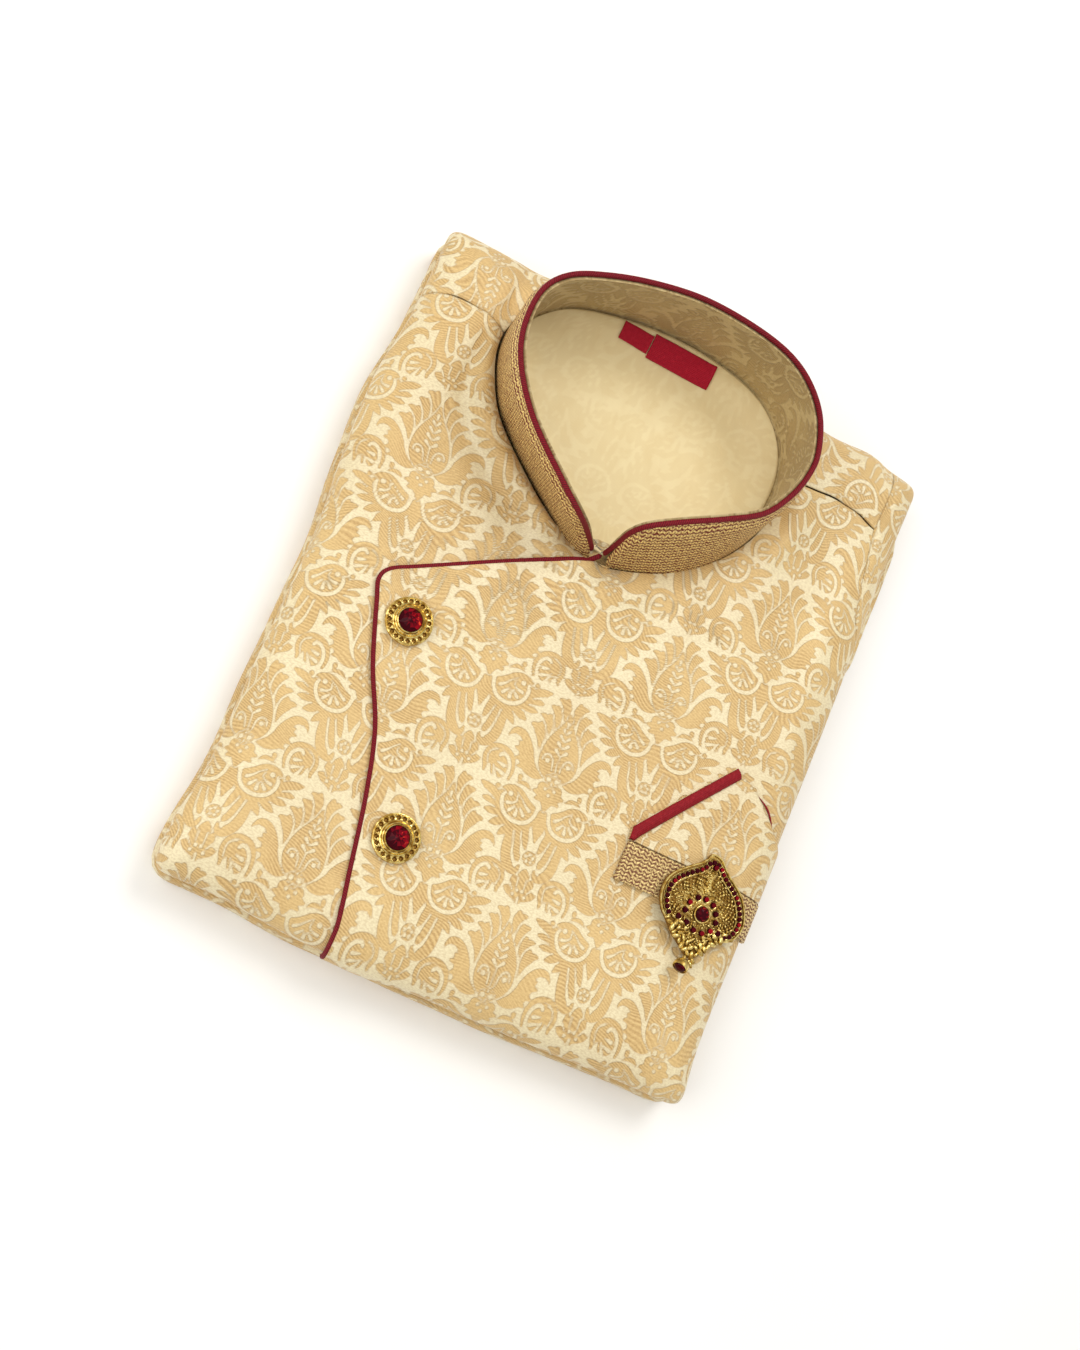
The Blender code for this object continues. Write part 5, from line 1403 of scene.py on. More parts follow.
# Leaves of the lower part: share of the outline's size, how many, half length
LEAF_ROWS = ((0.93, 19, 2.0), (0.77, 14, 1.9), (0.62, 10, 1.7))
LEAF_ENDS = ((3.4, -21.6), (1.4, -22.6), (-1.0, -22.2), (3.0, -23.6), (0.4, -24.2))
LEAF_END_SIZE, LEAF_FORM, LEAF_LEVEL = 1.6, (1, 0.5, 0.6), 2.0
# How the leaves change one after another: how much, how fast
LEAF_YAW, LEAF_RISE, LEAF_GROWTH = (0.9, 2.1), (0.4, 1.3), (0.2, 3.7)
DROP_FACE = ((0, 0), (1.8, 0.2), (3.2, 1.4), (3.7, 3.2), (3.6, 4.6), (3.2, 4.7), (3, 4.1),
             (0, 3.9))
DROP_STONE = ((2.9, 3.9, 0), (2.5, 5.0, 1), (1.1, 5.6, 0))
DROP_PLACE, DROP_TURN, DROP_YAW = (-0.6, -23.0, 2.8), math.radians(72), math.radians(-24)


def brooch_line(share, count, first=0, last=None):
    """The outline, or its part between two knots, drawn in to a share of its size."""
    knots = np.array((BROOCH_EDGE + BROOCH_EDGE[:1])[first:last])
    return (smooth_line(knots, count) - BROOCH_MIDDLE) * share + BROOCH_MIDDLE


def wire(shape, line, height, thickness, around=6):
    """Adds a plain wire along an open plan line."""
    run = np.gradient(line, axis=0)
    run /= np.linalg.norm(run, axis=1)[:, None]
    out = np.column_stack([run[:, 1], -run[:, 0]])
    other = bmesh.new()
    bmesh.ops.create_grid(other, x_segments=around, y_segments=len(line) - 1, size=0.5)
    for knot in other.verts:
        turn = (knot.co.x + 0.5) * 2 * math.pi
        k = round((knot.co.y + 0.5) * (len(line) - 1))
        x, y = line[k] + out[k] * thickness * math.cos(turn)
        knot.co = (x, y, height + thickness * math.sin(turn))
    bmesh.ops.remove_doubles(other, verts=other.verts, dist=WELD_MM)
    ends = [edge for edge in other.edges if edge.is_boundary]
    bmesh.ops.holes_fill(other, edges=ends, sides=0)
    bmesh.ops.recalc_face_normals(other, faces=other.faces)
    merged(shape, other)


def brooch_hollow_shade(x, y, z):
    """How deep a place lies between the brooch's raised parts, from 0 to 1, which sets the painted
    shade there.
    """
    away = math.hypot(x - BROOCH_MIDDLE[0], y - BROOCH_MIDDLE[1])
    return float(1 - eased((z - HOLLOW_SHADE_FROM + HOLLOW_SHADE_FALL * away) / HOLLOW_SHADE_SLOPE))


def brooch_plate():
    """The brooch's closed plate, domed toward its middle."""
    fine = brooch_line(1.0, PLATE_AROUND + 1)[:-1]
    plate = bmesh.new()
    bmesh.ops.create_grid(plate, x_segments=PLATE_AROUND, y_segments=PLATE_STEPS, size=0.5)
    rings = np.array(BROOCH_RINGS)
    stations = np.linspace(0, 1, len(rings))
    for knot in plate.verts:
        place = fine[round((knot.co.x + 0.5) * PLATE_AROUND) % PLATE_AROUND] - BROOCH_MIDDLE
        share = np.interp(knot.co.y + 0.5, stations, rings[:, 0])
        x, y = place * share + BROOCH_MIDDLE
        knot.co = (x, y, np.interp(knot.co.y + 0.5, stations, rings[:, 1]))
    bmesh.ops.remove_doubles(plate, verts=plate.verts, dist=WELD_MM)
    borders = [edge for edge in plate.edges if edge.is_boundary]
    bmesh.ops.holes_fill(plate, edges=borders, sides=0)
    bmesh.ops.recalc_face_normals(plate, faces=plate.faces)
    for share, height, thickness in BROOCH_WIRES:
        wire(plate, brooch_line(share, WIRE_POINTS, 0, BROOCH_UPPER), height, thickness)
    return plate


def set_chips(plate, chips):
    """Adds the small stones in their cups; gives each one's place and size."""
    row = resample(brooch_line(CHIP_ROW_SHARE, CHIP_ROW_POINTS, 0, BROOCH_UPPER), CHIP_ROW)[1:-1]
    spots = [(x, y, CHIP_SIZE) for x, y in row] + [(x, y, RING_CHIP_SIZE) for x, y in RING_CHIPS]
    for x, y, size in spots:
        small_stone(chips, (x, y, CHIP_HEIGHT + CHIP_UP), size)
        hoop(plate, (x, y, CHIP_HEIGHT + CUP_UP), size + CUP_GAP, CUP_EDGE, *CUP_CELLS)
    return spots


def granulate(plate, spots):
    """Adds fine granules over the plate, clear of its stones."""
    fine = brooch_line(1.0, PLATE_AROUND + 1)[:-1]
    for k in range(GRANULES):
        share = GRANULE_SHARE * math.sqrt((k + 0.5) / GRANULES)
        place = fine[int((k * GOLDEN_STEP) % 1.0 * PLATE_AROUND)] - BROOCH_MIDDLE
        x, y = place * share + BROOCH_MIDDLE
        clear = min(math.hypot(x - stone_x, y - stone_y) - size for stone_x, stone_y, size in spots)
        if clear > GRANULE_CLEAR and math.hypot(*place) * share > GRANULE_RING:
            wave = math.sin(k * GRANULE_WAVE)
            height = GRANULE_LEVEL + GRANULE_SWELL * (1 - share) + GRANULE_SWELL * wave
            bead(plate, (x, y, height), GRANULE_SIZE + GRANULE_CHANGE * wave, GRANULE_FORM,
                 k * k * GRANULE_TURN)


def add_leaves(plate):
    """Adds the rows of small leaves below, and those that hang over its point."""
    leaves = []
    for share, count, size in LEAF_ROWS:
        for x, y in resample(brooch_line(share, LEAF_ROW_POINTS, BROOCH_UPPER - 2), count):
            leaves.append((x, y, size))
    leaves += [(x, y, LEAF_END_SIZE) for x, y in LEAF_ENDS]
    for k, (x, y, size) in enumerate(leaves):
        yaw, rise, growth = (much * math.sin(k * fast) for much, fast in
                             (LEAF_YAW, LEAF_RISE, LEAF_GROWTH))
        out = math.atan2(y - BROOCH_MIDDLE[1], x - BROOCH_MIDDLE[0]) + yaw
        bead(plate, (x, y, LEAF_LEVEL + rise), size * (1 + growth), LEAF_FORM, out, 2)


def smooth_face(turn, radius, share):
    return 0.0


def brooch(trees, metal, stone):
    """A tipped leaf of fine granules with wires and red stones, small leaves and a cup below."""
    seat = seat_on(BROOCH_CENTRE, brooch_line(1.0, BROOCH_FOOT)[:-1], trees, GAP, BROOCH_TILT)
    plate = brooch_plate()
    chips = cut_stone(BROOCH_STONE, BROOCH_STONE_SIDES)
    bmesh.ops.translate(chips, verts=chips.verts, vec=(*BROOCH_MIDDLE, BROOCH_TOP))
    hoop(plate, (*BROOCH_MIDDLE, BROOCH_TOP + BEZEL_RISE), BROOCH_BEZEL, BEZEL_WIRE,
         *BEZEL_CELLS)
    spots = set_chips(plate, chips)
    granulate(plate, spots)
    add_leaves(plate)
    body = placed("brooch_body", plate, seat, metal, BROOCH_SHARP, brooch_hollow_shade)
    drop = round_relief(*DROP_CELLS, DROP_FACE, smooth_face)
    hang = (Matrix.Translation(DROP_PLACE) @ Matrix.Rotation(DROP_YAW, 4, "Z")
            @ Matrix.Rotation(DROP_TURN, 4, "X"))
    bmesh.ops.transform(drop, matrix=hang, verts=drop.verts)
    end = cut_stone(DROP_STONE, DROP_STONE_SIDES)
    bmesh.ops.transform(end, matrix=hang, verts=end.verts)
    merged(chips, end)
    gems = faceted(placed("brooch_gem", chips, seat, stone, STONE_SHARP), *BROOCH_FACETS)
    tail = placed("brooch_tail", drop, seat, metal, BUTTON_SHARP)
    return body, gems, tail


# ---- finishes ----

def add(tree, kind, inputs=None, **settings):
    """A node with its settings, and inputs that are values or other nodes' outputs."""
    node = tree.nodes.new(kind)
    for key, value in settings.items():
        setattr(node, key, value)
    for key, value in (inputs or {}).items():
        if isinstance(value, bpy.types.NodeSocket):
            tree.links.new(value, node.inputs[key])
        else:
            node.inputs[key].default_value = value
    return node


def maths(tree, kind, first, second=0.0):
    return add(tree, "ShaderNodeMath", {0: first, 1: second}, operation=kind).outputs[0]


def ramp(tree, value, low, high, start=0.0, end=1.0):
    """The value eased from start to end as it goes from low to high."""
    return add(tree, "ShaderNodeMapRange",
               {"Value": value, 1: low, 2: high, 3: start, 4: end},
               interpolation_type="SMOOTHSTEP").outputs[0]


def near(tree, value, middle, low, high):
    """One where the value is within low of the middle, easing to none beyond high."""
    away = maths(tree, "ABSOLUTE", maths(tree, "SUBTRACT", value, middle))
    return ramp(tree, away, low, high, 1.0, 0.0)


def mixed(tree, share, first, second, kind="MIX"):
    """Two colours mixed by a share."""
    return add(tree, "ShaderNodeMix", {0: share, 6: first, 7: second}, data_type="RGBA",
               blend_type=kind).outputs[2]


def noise(tree, place, scale, detail=2.0):
    return add(tree, "ShaderNodeTexNoise", {"Vector": place, "Scale": scale, "Detail": detail}
               ).outputs["Fac"]


def stretched(tree, place, scale):
    return add(tree, "ShaderNodeMapping", {"Vector": place, "Scale": scale}).outputs[0]


def ribs(tree, place, along, period):
    """A wave from 0 to 1 across the given direction, once in each period."""
    run = add(tree, "ShaderNodeVectorMath",
              {0: place, 1: Vector(along).normalized() * (2 * math.pi / (period * MM))},
              operation="DOT_PRODUCT").outputs["Value"]
    wave = maths(tree, "SINE", run)
    return add(tree, "ShaderNodeMath", {0: wave, 1: 0.5, 2: 0.5}, operation="MULTIPLY_ADD"
               ).outputs[0]


def cloth_place_of(tree):
    return add(tree, "ShaderNodeUVMap", uv_map="cloth").outputs[0]


def body_place(tree):
    return add(tree, "ShaderNodeTexCoord").outputs["Object"]


def effect(name, inputs, outputs):
    """An empty node group with named inputs and outputs."""
    group = bpy.data.node_groups.new(name, "ShaderNodeTree")
    for label, kind in inputs:
        group.interface.new_socket(label, in_out="INPUT", socket_type="NodeSocket" + kind)
    for label in outputs:
        group.interface.new_socket(label, in_out="OUTPUT", socket_type="NodeSocketFloat")
    return group, group.nodes.new("NodeGroupInput"), group.nodes.new("NodeGroupOutput")


def used(tree, group, inputs):
    return add(tree, "ShaderNodeGroup", inputs, node_tree=group).outputs


# The figured weave: where gold starts and its outline lies, a dark edge that is partly the weave's
# outline and partly painted shade at the raised figure's edge, how its ribs wander
GOLD_EDGE, OUTLINE_AND_EDGE_SHADE_AT = (0.34, 0.80), (0.50, 0.0, 0.34)
DRIFT_SCALE, DRIFT = 34.0, (0.024, 0.024, 0.0)
# Directions across the cloth and spacing in millimetres
RIB_LINES, SATIN_LINES = ((0.3, 1.0, 0), 1.35), ((0.1, 1.0, 0), 0.7)
PATCH_SCALE, PATCH_SHARE = 42.0, (0.34, 0.62, 0.35, 1.15)
THREAD_SCALE, THREAD_SHAPE, THREAD_EDGE, THREAD_SHARE = 760.0, (1.0, 1.9, 1.0), (0.34, 0.68), 0.60
GOLD_RISE, SATIN_RISE, THREAD_RISE, RIB_SINK = -0.7, 0.1, 0.45, 0.35


def figure_effect():
    """Gold share, outline with painted edge shade, thread shade and height of the figured cloth."""
    group, start, end = effect("figured_weave", (("Figure", "Float"), ("Cloth", "Vector")),
                               ("Gold", "Outline and edge shade", "Thread", "Height"))
    figure, cloth = start.outputs["Figure"], start.outputs["Cloth"]
    gold = ramp(group, figure, *GOLD_EDGE)
    # the outline is partly the weave's own outline and partly painted shade at the raised figure's
    # edge
    outline = near(group, figure, *OUTLINE_AND_EDGE_SHADE_AT)
    drift = add(group, "ShaderNodeTexNoise",
                {"Vector": cloth, "Scale": DRIFT_SCALE, "Detail": 1.0})
    bent = add(group, "ShaderNodeVectorMath", {0: drift.outputs["Color"], 1: DRIFT, 2: cloth},
               operation="MULTIPLY_ADD").outputs[0]
    rib = ribs(group, bent, *RIB_LINES)
    satin = ribs(group, cloth, *SATIN_LINES)
    patches = ramp(group, noise(group, cloth, PATCH_SCALE), *PATCH_SHARE)
    thread = noise(group, stretched(group, cloth, THREAD_SHAPE), THREAD_SCALE, 1.0)
    ribbed = maths(group, "MULTIPLY", maths(group, "MULTIPLY", rib, gold), patches)
    shade = maths(group, "ADD", ribbed,
                  maths(group, "MULTIPLY", ramp(group, thread, *THREAD_EDGE), THREAD_SHARE))
    rise = maths(group, "ADD", maths(group, "MULTIPLY", gold, GOLD_RISE),
                 maths(group, "ADD", maths(group, "MULTIPLY", satin, SATIN_RISE),
                       maths(group, "MULTIPLY", thread, THREAD_RISE)))
    height = maths(group, "SUBTRACT", rise, maths(group, "MULTIPLY", ribbed, RIB_SINK))
    for label, value in (("Gold", gold), ("Outline and edge shade", outline), ("Thread", shade),
                         ("Height", height)):
        group.links.new(value, end.inputs[label])
    return group


def look_of(name, roughness, metallic=0.0, **constants):
    """A new material's tree and its main shader, with its plain numbers set."""
    made = bpy.data.materials.new(name)
    made.use_nodes = True
    shader = made.node_tree.nodes["Principled BSDF"]
    shader.inputs["Roughness"].default_value = roughness
    shader.inputs["Metallic"].default_value = metallic
    for label, value in constants.items():
        shader.inputs[label.replace("_", " ")].default_value = value
    return made, made.node_tree, shader


def finish(tree, shader, colour, height=None, depth=0.2, roughness=None):
    """Joins a colour, a bump height in millimetres deep, and a roughness to the shader."""
    tree.links.new(colour, shader.inputs["Base Color"])
    if height is not None:
        bump = add(tree, "ShaderNodeBump", {"Height": height, "Distance": depth * MM})
        tree.links.new(bump.outputs[0], shader.inputs["Normal"])
    if roughness is not None:
        tree.links.new(roughness, shader.inputs["Roughness"])


def rgb(red, green, blue):
    """A colour from its screen values."""
    def linear(value):
        share = value / 255
        return share / 12.92 if share < 0.04045 else ((share + 0.055) / 1.055)**2.4
    return (linear(red), linear(green), linear(blue), 1.0)


# How much of the shade colour the outlines (partly painted shade at the figure's edge), threads and
# broad patches take
OUTLINE_SHADE, THREAD_SHADE, BROAD_SHADE = 0.30, 0.42, 0.10
BROAD_SCALE, BROAD_EDGE, BROCADE_ROUGH, BROCADE_DEPTH = 14.0, (0.35, 0.7), (0.42, 0.58), 0.25


def figure_share(tree):
    return add(tree, "ShaderNodeAttribute", attribute_name="figure").outputs["Fac"]


def brocade_look(name, weave, ground, gold, shade, strength):
    """The two-toned figured cloth; strength is how clearly its figure stands out."""
    made, tree, shader = look_of(name, 0.5, Sheen_Weight=0.12, Sheen_Roughness=0.4)
    cloth = cloth_place_of(tree)
    made_of = used(tree, weave, {"Figure": figure_share(tree), "Cloth": cloth})
    toned = mixed(tree, maths(tree, "MULTIPLY", made_of["Gold"], strength), ground, gold)
    # the outline darkens the colour: partly the weave's outline, partly painted shade at the
    # figure's edge
    lined = mixed(tree, maths(tree, "MULTIPLY", made_of["Outline and edge shade"], OUTLINE_SHADE * strength),
                  toned, shade)
    threaded = mixed(tree, maths(tree, "MULTIPLY", made_of["Thread"], THREAD_SHADE), lined,
                     shade)
    broad = ramp(tree, noise(tree, cloth, BROAD_SCALE, 3.0), *BROAD_EDGE)
    uneven = mixed(tree, maths(tree, "MULTIPLY", broad, BROAD_SHADE), threaded, shade)
    finish(tree, shader, uneven, made_of["Height"], BROCADE_DEPTH,
           ramp(tree, made_of["Gold"], 0.0, 1.0, *BROCADE_ROUGH))
    return made


# The inside back: how its figure shows through, its mottling and its thread
LINING_FIGURE, MOTTLE_SHAPE = (0.2, 0.8, 0.0, 0.30), (1.0, 0.5, 1.0)
MOTTLE_SCALE, MOTTLE_EDGE, MOTTLE_SHARE = 130.0, (0.35, 0.7), 0.30
LINING_LINES, LINING_THREAD, LINING_DEPTH = ((1, 0.02, 0), 0.6), 0.10, 0.12


def lining_look():
    """The smooth inside back, mottled where its figure shows through."""
    made, tree, shader = look_of("plain_lining", 0.6, Sheen_Weight=0.1)
    cloth = cloth_place_of(tree)
    base = mixed(tree, ramp(tree, figure_share(tree), *LINING_FIGURE), rgb(238, 221, 172),
                 rgb(221, 196, 138))
    faint = ramp(tree, noise(tree, stretched(tree, cloth, MOTTLE_SHAPE), MOTTLE_SCALE, 3.0),
                 *MOTTLE_EDGE)
    mottled = mixed(tree, maths(tree, "MULTIPLY", faint, MOTTLE_SHARE), base, rgb(222, 198, 142))
    thread = ribs(tree, cloth, *LINING_LINES)
    lined = mixed(tree, maths(tree, "MULTIPLY", thread, LINING_THREAD), mottled,
                  rgb(190, 160, 105))
    finish(tree, shader, lined, faint, LINING_DEPTH)
    return made


# The braid: unevenness of its rows, the slant and width of its stitches, its painted glints
WOBBLE_SCALE, WOBBLE, ROW_EDGE, ROW_RISE = 420.0, 0.8, (0.14, 0.30), (0.05, 0.5)
STITCH_SLANT, STITCH_LEAST = (0.25, 0.08, 0.24), 0.45
WORN_SCALE, WORN_EDGE = 30.0, (0.3, 0.7)
GRAIN_SCALE, GRAIN_SHARE = 900.0, (0.40, 0.52, 0.6, 1.0)
GLINT_SCALE, GLINT_EDGE, GLINT_SHARE = 1100.0, (0.56, 0.64), 0.6
BRAID_DEPTH, BRAID_ROUGH, BRAID_METAL = 0.35, (0.65, 0.36), 0.2
# Spacing, period and swing of the rows, in millimetres
COLLAR_ROWS, WELT_ROWS = (2.8, 2.6, 0.9), (1.7, 3.4, 1.1)


def zigzag_effect():
    """Rows of gilt zigzag on dark thread: spacing and period in millimetres."""
    group, start, end = effect("zigzag_braid", (("Cloth", "Vector"), ("Spacing", "Float"),
                                                ("Period", "Float"), ("Swing", "Float")),
                               ("Gilt", "Height"))
    parts = add(group, "ShaderNodeSeparateXYZ", {0: start.outputs["Cloth"]}).outputs
    steps = maths(group, "DIVIDE", parts["X"], maths(group, "MULTIPLY",
                                                     start.outputs["Period"], MM))
    swing = maths(group, "PINGPONG", steps, 0.5)
    rows = maths(group, "DIVIDE", parts["Y"], maths(group, "MULTIPLY",
                                                    start.outputs["Spacing"], MM))
    wobble = maths(group, "MULTIPLY", noise(group, start.outputs["Cloth"], WOBBLE_SCALE), WOBBLE)
    swung = maths(group, "ADD", rows, maths(group, "MULTIPLY", swing, start.outputs["Swing"]))
    level = maths(group, "ADD", swung, wobble)
    wave = maths(group, "PINGPONG", level, 0.5)
    stitch = near(group, swing, *STITCH_SLANT)
    gilt = maths(group, "MULTIPLY", ramp(group, wave, *ROW_EDGE),
                 ramp(group, stitch, 0.0, 1.0, STITCH_LEAST, 1.0))
    group.links.new(gilt, end.inputs["Gilt"])
    group.links.new(ramp(group, wave, *ROW_RISE), end.inputs["Height"])
    return group


def braid_look(name, zigzag, sizes, gilt, dark, share):
    """Gilt thread on a dark ground with painted glints; share is how gilt its dullest patches stay.
    """
    made, tree, shader = look_of(name, 0.45)
    cloth = cloth_place_of(tree)
    spacing, period, swing = sizes
    rows = used(tree, zigzag, {"Cloth": cloth, "Spacing": spacing, "Period": period,
                               "Swing": swing})
    broad = ramp(tree, noise(tree, cloth, WORN_SCALE), *WORN_EDGE, share, 1.0)
    grain = ramp(tree, noise(tree, cloth, GRAIN_SCALE, 1.0), *GRAIN_SHARE)
    lit = maths(tree, "MULTIPLY", maths(tree, "MULTIPLY", rows["Gilt"], broad), grain)
    # painted highlight: pale glints of light on the gilt thread, mixed into the colour
    painted_glint = ramp(tree, noise(tree, cloth, GLINT_SCALE, 1.0), *GLINT_EDGE)
    colour = mixed(tree, maths(tree, "MULTIPLY", painted_glint, GLINT_SHARE),
                   mixed(tree, lit, dark, gilt), rgb(255, 226, 150))
    finish(tree, shader, colour, rows["Height"], BRAID_DEPTH,
           ramp(tree, lit, 0.0, 1.0, *BRAID_ROUGH))
    tree.links.new(maths(tree, "MULTIPLY", lit, BRAID_METAL), shader.inputs["Metallic"])
    return made


# Winding of the cords and close satin of the tapes: direction across, spacing
CORD_LINES, CORD_FUZZ_SHAPE, CORD_FUZZ = ((0.5, 1.0, 0), 0.9), (2.0, 1.0, 1.0), 900.0
CORD_FUZZ_SHARE, CORD_FUZZ_RISE, CORD_DEPTH = (0.45, 0.78, 0.0, 0.3), 0.6, 0.25
SATIN_ROWS, SATIN_COLUMNS = ((0.0, 1.0, 0), 0.7), ((1.0, 0.0, 0), 0.9)
SATIN_FUZZ, SATIN_FUZZ_SHARE, SATIN_SHARE, SATIN_DEPTH = 700.0, (0.4, 0.8, 0.0, 0.4), 0.5, 0.12
TWIST_LINES = ((1, 1, 0.3), 0.5)


def cord_look():
    """Slanted threads wound round the piping."""
    made, tree, shader = look_of("maroon_cord", 0.6, Specular_IOR_Level=0.25)
    cloth = cloth_place_of(tree)
    slant = ribs(tree, cloth, *CORD_LINES)
    fuzz = noise(tree, stretched(tree, cloth, CORD_FUZZ_SHAPE), CORD_FUZZ)
    base = mixed(tree, slant, rgb(84, 2, 14), rgb(142, 16, 32))
    fuzzed = mixed(tree, ramp(tree, fuzz, *CORD_FUZZ_SHARE), base, rgb(176, 50, 60))
    rise = maths(tree, "ADD", slant, maths(tree, "MULTIPLY", fuzz, CORD_FUZZ_RISE))
    finish(tree, shader, fuzzed, rise, CORD_DEPTH)
    return made


def weave_look(name, light, dark, bright):
    """Close satin of the labels and the pocket square's edging."""
    made, tree, shader = look_of(name, 0.5, Sheen_Weight=0.03, Specular_IOR_Level=0.2)
    cloth = cloth_place_of(tree)
    rows, columns = ribs(tree, cloth, *SATIN_ROWS), ribs(tree, cloth, *SATIN_COLUMNS)
    base = mixed(tree, maths(tree, "MULTIPLY", rows, SATIN_SHARE), light, dark)
    toned = mixed(tree, ramp(tree, noise(tree, cloth, SATIN_FUZZ), *SATIN_FUZZ_SHARE), base,
                  bright)
    rise = maths(tree, "ADD", rows, maths(tree, "MULTIPLY", columns, SATIN_SHARE))
    finish(tree, shader, toned, rise, SATIN_DEPTH)
    return made


def thread_look():
    """Grey sewing thread."""
    made, tree, shader = look_of("grey_thread", 0.6)
    twist = ribs(tree, body_place(tree), *TWIST_LINES)
    finish(tree, shader, mixed(tree, twist, rgb(120, 112, 100), rgb(172, 164, 148)), twist, 0.1)
    return made


# Gilt: fine grain, dull patches, painted shade in its hollows and roughness; stone: its painted
# sparks of light and its facets
METAL_GRAIN, METAL_DEPTH, DULL_SCALE, DULL_EDGE = 1400.0, 0.08, 420.0, (0.40, 0.62)
HOLLOW_SHADE_EDGE, METAL_ROUGH = (0.15, 0.85), (0.22, 0.45)
PAINTED_SPARK_SCALE, PAINTED_SPARK_EDGE, FACET_EDGE, PAINTED_SPARK_FACETS = 700.0, (0.50, 0.66), (0.1, 0.9), (0.6, 0.95)
FLOOR_SHAPE, FLOOR_SCALE, FLOOR_EDGE = (1.0, 0.5, 1.0), 3.0, (0.3, 0.7)


def gilt_look():
    """Pale gilt, dull in places, with painted shade darkening its hollows."""
    made, tree, shader = look_of("gilt_metal", 0.3, 1.0)
    place = body_place(tree)
    hollow = add(tree, "ShaderNodeAttribute", attribute_name="hollow").outputs["Fac"]
    grain = noise(tree, place, METAL_GRAIN, 3.0)
    dull = ramp(tree, noise(tree, place, DULL_SCALE, 3.0), *DULL_EDGE)
    face = mixed(tree, dull, rgb(236, 212, 134), rgb(172, 136, 62))
    # painted shade: the hollow share darkens the gilt towards a deep brown
    colour = mixed(tree, ramp(tree, hollow, *HOLLOW_SHADE_EDGE), face, rgb(134, 98, 44))
    finish(tree, shader, colour, grain, METAL_DEPTH,
           ramp(tree, maths(tree, "MAXIMUM", dull, hollow), 0.0, 1.0, *METAL_ROUGH))
    return made


def stone_look():
    """Deep red cut glass, each facet as bright as the light it catches."""
    made, tree, shader = look_of("red_stone", 0.12, Specular_IOR_Level=0.08)
    facet = add(tree, "ShaderNodeAttribute", attribute_name="facet").outputs["Fac"]
    place = body_place(tree)
    # painted highlight: bright sparks of light on the facets that face the light
    painted_spark = ramp(tree, noise(tree, place, PAINTED_SPARK_SCALE, 1.0), *PAINTED_SPARK_EDGE)
    deep = mixed(tree, ramp(tree, facet, *FACET_EDGE), rgb(58, 2, 12), rgb(156, 8, 28))
    lit = maths(tree, "MULTIPLY", painted_spark, ramp(tree, facet, *PAINTED_SPARK_FACETS))
    finish(tree, shader, mixed(tree, lit, deep, rgb(250, 84, 48)))
    return made


def floor_look():
    made, tree, shader = look_of("pale_floor", 0.7)
    place = body_place(tree)
    # painted shade: faint stretched patches standing for soft folds that the flat floor does not
    # have
    fold_shade = ramp(tree, noise(tree, stretched(tree, place, FLOOR_SHAPE), FLOOR_SCALE), *FLOOR_EDGE)
    finish(tree, shader, mixed(tree, fold_shade, rgb(250, 249, 246), rgb(247, 245, 240)))
    return made


# ---- camera, light and floor ----

CAMERA_PLACE = np.array((-179.0, -215.2, 773.9))
CAMERA_RIGHT = (0.8787, 0.3729, 0.298)
CAMERA_DOWN = (0.4277, -0.8922, -0.145)
CAMERA_AHEAD = (0.2118, 0.2546, -0.9436)
CAMERA_LENS, CAMERA_SENSOR, CAMERA_NEAR = 47.147, 36.0, 0.01


def camera():
    """The camera, its axes made square to each other."""
    made = bpy.data.cameras.new("camera")
    made.lens = CAMERA_LENS
    made.sensor_width = CAMERA_SENSOR
    made.clip_start = CAMERA_NEAR
    seen = bpy.data.objects.new("camera", made)
    bpy.context.scene.collection.objects.link(seen)
    axes = np.array((CAMERA_RIGHT, CAMERA_DOWN, CAMERA_AHEAD))
    left, _, right = np.linalg.svd(axes)
    axes = left @ right
    turn = Matrix(np.column_stack([axes[0], -axes[1], -axes[2]]).tolist()).to_4x4()
    seen.matrix_world = Matrix.Translation(Vector(CAMERA_PLACE + FOLD_SHIFT) * MM) @ turn
    bpy.context.scene.camera = seen


def light(name, place, size, power):
    """A round soft light that faces the middle of the floor."""
    made = bpy.data.lights.new(name, "AREA")
    made.shape = "DISK"
    made.size = size
    made.energy = power
    lamp = bpy.data.objects.new(name, made)
    bpy.context.scene.collection.objects.link(lamp)
    lamp.location = place
    lamp.rotation_euler = Vector(place).to_track_quat("Z", "Y").to_euler()


SKY_LOW, SKY_HIGH, SKY_STRENGTH = (0.45, 0.43, 0.41, 1), (1, 0.99, 0.975, 1), 0.77
SKY_EDGE, FLOOR_SIZE = (-0.1, 0.75), 3
# Name, place in metres, size and power; both shine at the coat
LIGHTS = (("key", (0.3, 0.75, 1.35), 0.8, 9.0), ("fill", (-1.0, -0.3, 1.1), 1.4, 9.0))


def studio():
    world = bpy.data.worlds.new("studio")
    bpy.context.scene.world = world
    world.use_nodes = True
    tree = world.node_tree
    way = add(tree, "ShaderNodeTexCoord").outputs["Generated"]
    height = add(tree, "ShaderNodeSeparateXYZ", {0: way}).outputs["Z"]
    sky = mixed(tree, ramp(tree, height, *SKY_EDGE), SKY_LOW, SKY_HIGH)
    tree.links.new(sky, tree.nodes["Background"].inputs["Color"])
    tree.nodes["Background"].inputs["Strength"].default_value = SKY_STRENGTH
    for row in LIGHTS:
        light(*row)
    shape = bmesh.new()
    bmesh.ops.create_grid(shape, x_segments=1, y_segments=1, size=FLOOR_SIZE)
    floor = own_mesh("floor", shape, floor_look())


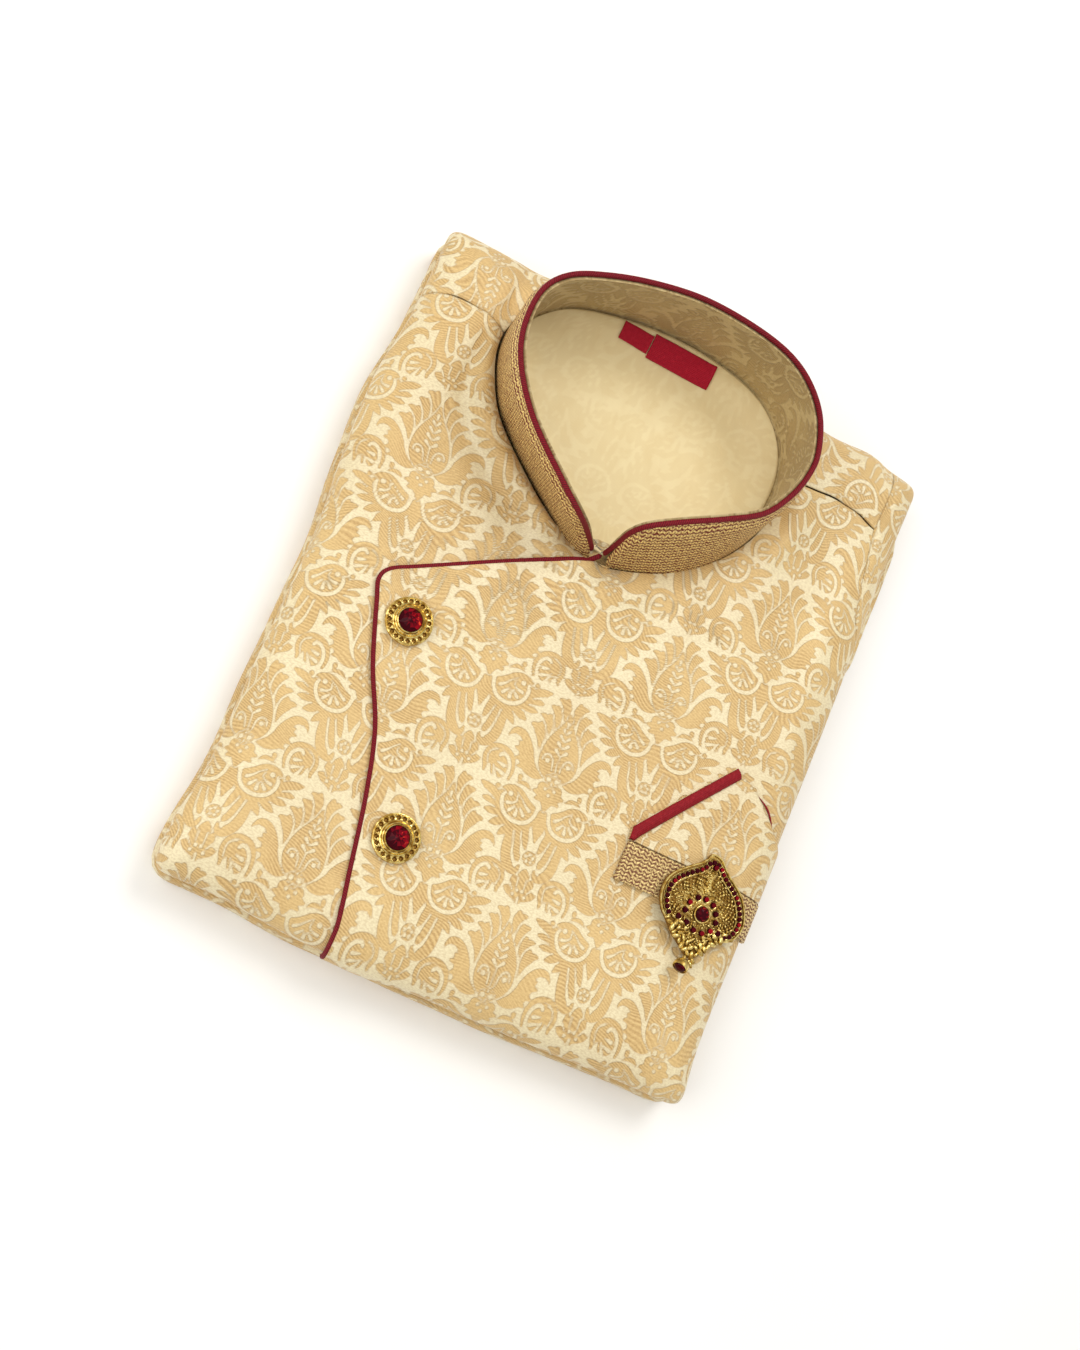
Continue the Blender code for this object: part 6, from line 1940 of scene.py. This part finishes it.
def dress():
    weave, zigzag = figure_effect(), zigzag_effect()
    brocade = brocade_look("brocade", weave, rgb(236, 222, 181), rgb(226, 194, 132),
                           rgb(164, 122, 66), 1.0)
    reverse = brocade_look("brocade_reverse", weave, rgb(205, 184, 132), rgb(186, 160, 106),
                           rgb(128, 98, 54), 0.7)
    lining = lining_look()
    braid = braid_look("collar_braid", zigzag, COLLAR_ROWS, rgb(255, 222, 138),
                       rgb(108, 22, 8), 1.0)
    wide_braid = braid_look("welt_braid", zigzag, WELT_ROWS, rgb(248, 216, 144),
                            rgb(112, 60, 32), 0.95)
    cord = cord_look()
    tape = weave_look("maroon_weave", rgb(178, 14, 44), rgb(140, 8, 32), rgb(200, 40, 62))
    edging = weave_look("maroon_edging", rgb(146, 12, 26), rgb(88, 2, 14), rgb(180, 42, 48))
    gilt, stone, thread = gilt_look(), stone_look(), thread_look()

    layers = [worn(figured(folded_layer(*row, brocade), YOKE_START), "folded_layers")
              for row in LAYERS]
    lower = worn(figured(cloth_piece("front_right_cloth", front_right_borders(), brocade),
                         LOWER_FRONT_START), "front_right_panel")
    upper = worn(figured(cloth_piece("front_left_cloth", front_left_borders(), brocade,
                                     overlap_lift), UPPER_FRONT_START),
                 "front_left_panel")
    yoke = worn(figured(cloth_piece("back_yoke_cloth", yoke_borders(), brocade), YOKE_START, -1),
                "back_yoke")
    sleeve = worn(figured(cloth_piece("sleeve_left_cloth", sleeve_borders(), brocade),
                          SLEEVE_START), "sleeve_left")
    ground = worn(figured(inside_back(lining), YOKE_START, -1), "inside_back")
    outer = STAND_WALL / 2 + BRAID_GAP + BRAID_WALL
    band = worn(collar_band("collar_braid_band",
                            collar_surface(outer, -BRAID_DROP, BRAID_TOP, BRAID_TUCK,
                                           BRAID_LEAN),
                            BRAID_STEP, BRAID_HEM, braid, True), "collar_braid")
    inner = collar_band("collar_inner_band",
                        collar_surface(-STAND_WALL / 2, -STAND_SINK, STAND_TOP, STAND_TUCK,
                                       STAND_LEAN), STAND_STEP, STAND_HEM, reverse, False)
    stand = worn(figured(inner, INNER_COLLAR_START), "collar_stand")
    collar_cord = worn(collar_piping(cord), "collar_piping")
    front_cord = worn(front_piping(lower, cord), "front_piping")
    sewing = worn(stitches("centre_front_stitches", CENTRE_STITCHES, surface_of(lower), thread),
                  "front_right_panel")
    welt = worn(laid_sheet("pocket_welt_band", welt_borders(), WELT_CELLS,
                           [surface_of(upper)], POCKET_GAP, WELT_WALL, wide_braid),
                "pocket_welt")
    square = worn(figured(laid_sheet("pocket_square_cloth", square_borders(), SQUARE_CELLS,
                                     [surface_of(upper)], POCKET_GAP, SQUARE_WALL, brocade),
                          SQUARE_START), "pocket_square")
    under = [surface_of(square), surface_of(upper)]
    for name, borders, wall, swell in (
            ("pocket_square_edge", edging_borders(), EDGING_WALL, rolled_edge),
            ("pocket_square_side_edge", side_edge_borders(), SIDE_EDGE_WALL, None)):
        cells = (EDGING_ACROSS, len(borders[0]) - 1)
        worn(laid_sheet(name, borders, cells, under, GAP, wall, edging, swell),
                          "pocket_square_edging")
    labels = [worn(label(name, sides, LABEL_HANG, ground, tape), node)
              for name, sides, node in (("main_label_tape", MAIN_LABEL, "label_main"),
                                        ("care_label_tape", CARE_LABEL, "label_care"))]
    trimmings = [front_cord]
    for name, centre in zip(("button_upper", "button_lower"), BUTTON_CENTRES):
        body, gem = button(name, centre, [surface_of(upper)], gilt, stone)
        trimmings += [worn(body, name), worn(gem, name + "_stone")]
    body, gem, tail = brooch([surface_of(upper), surface_of(welt), surface_of(square)], gilt,
                             stone)
    trimmings += [worn(body, "brooch_plate"), worn(gem, "brooch_stone"),
                  worn(tail, "brooch_drop")]
    cut(layers[1])
    cut(layers[0])
    cut(lower)
    cut(upper)
    cut(yoke)
    cut(sleeve)
    cut(ground)
    cut(band)
    cut(stand)
    cut(welt)
    cut(square)
    for tag in labels:
        cut(tag)


dress()
camera()
studio()
bpy.context.scene.view_settings.view_transform = "Standard"
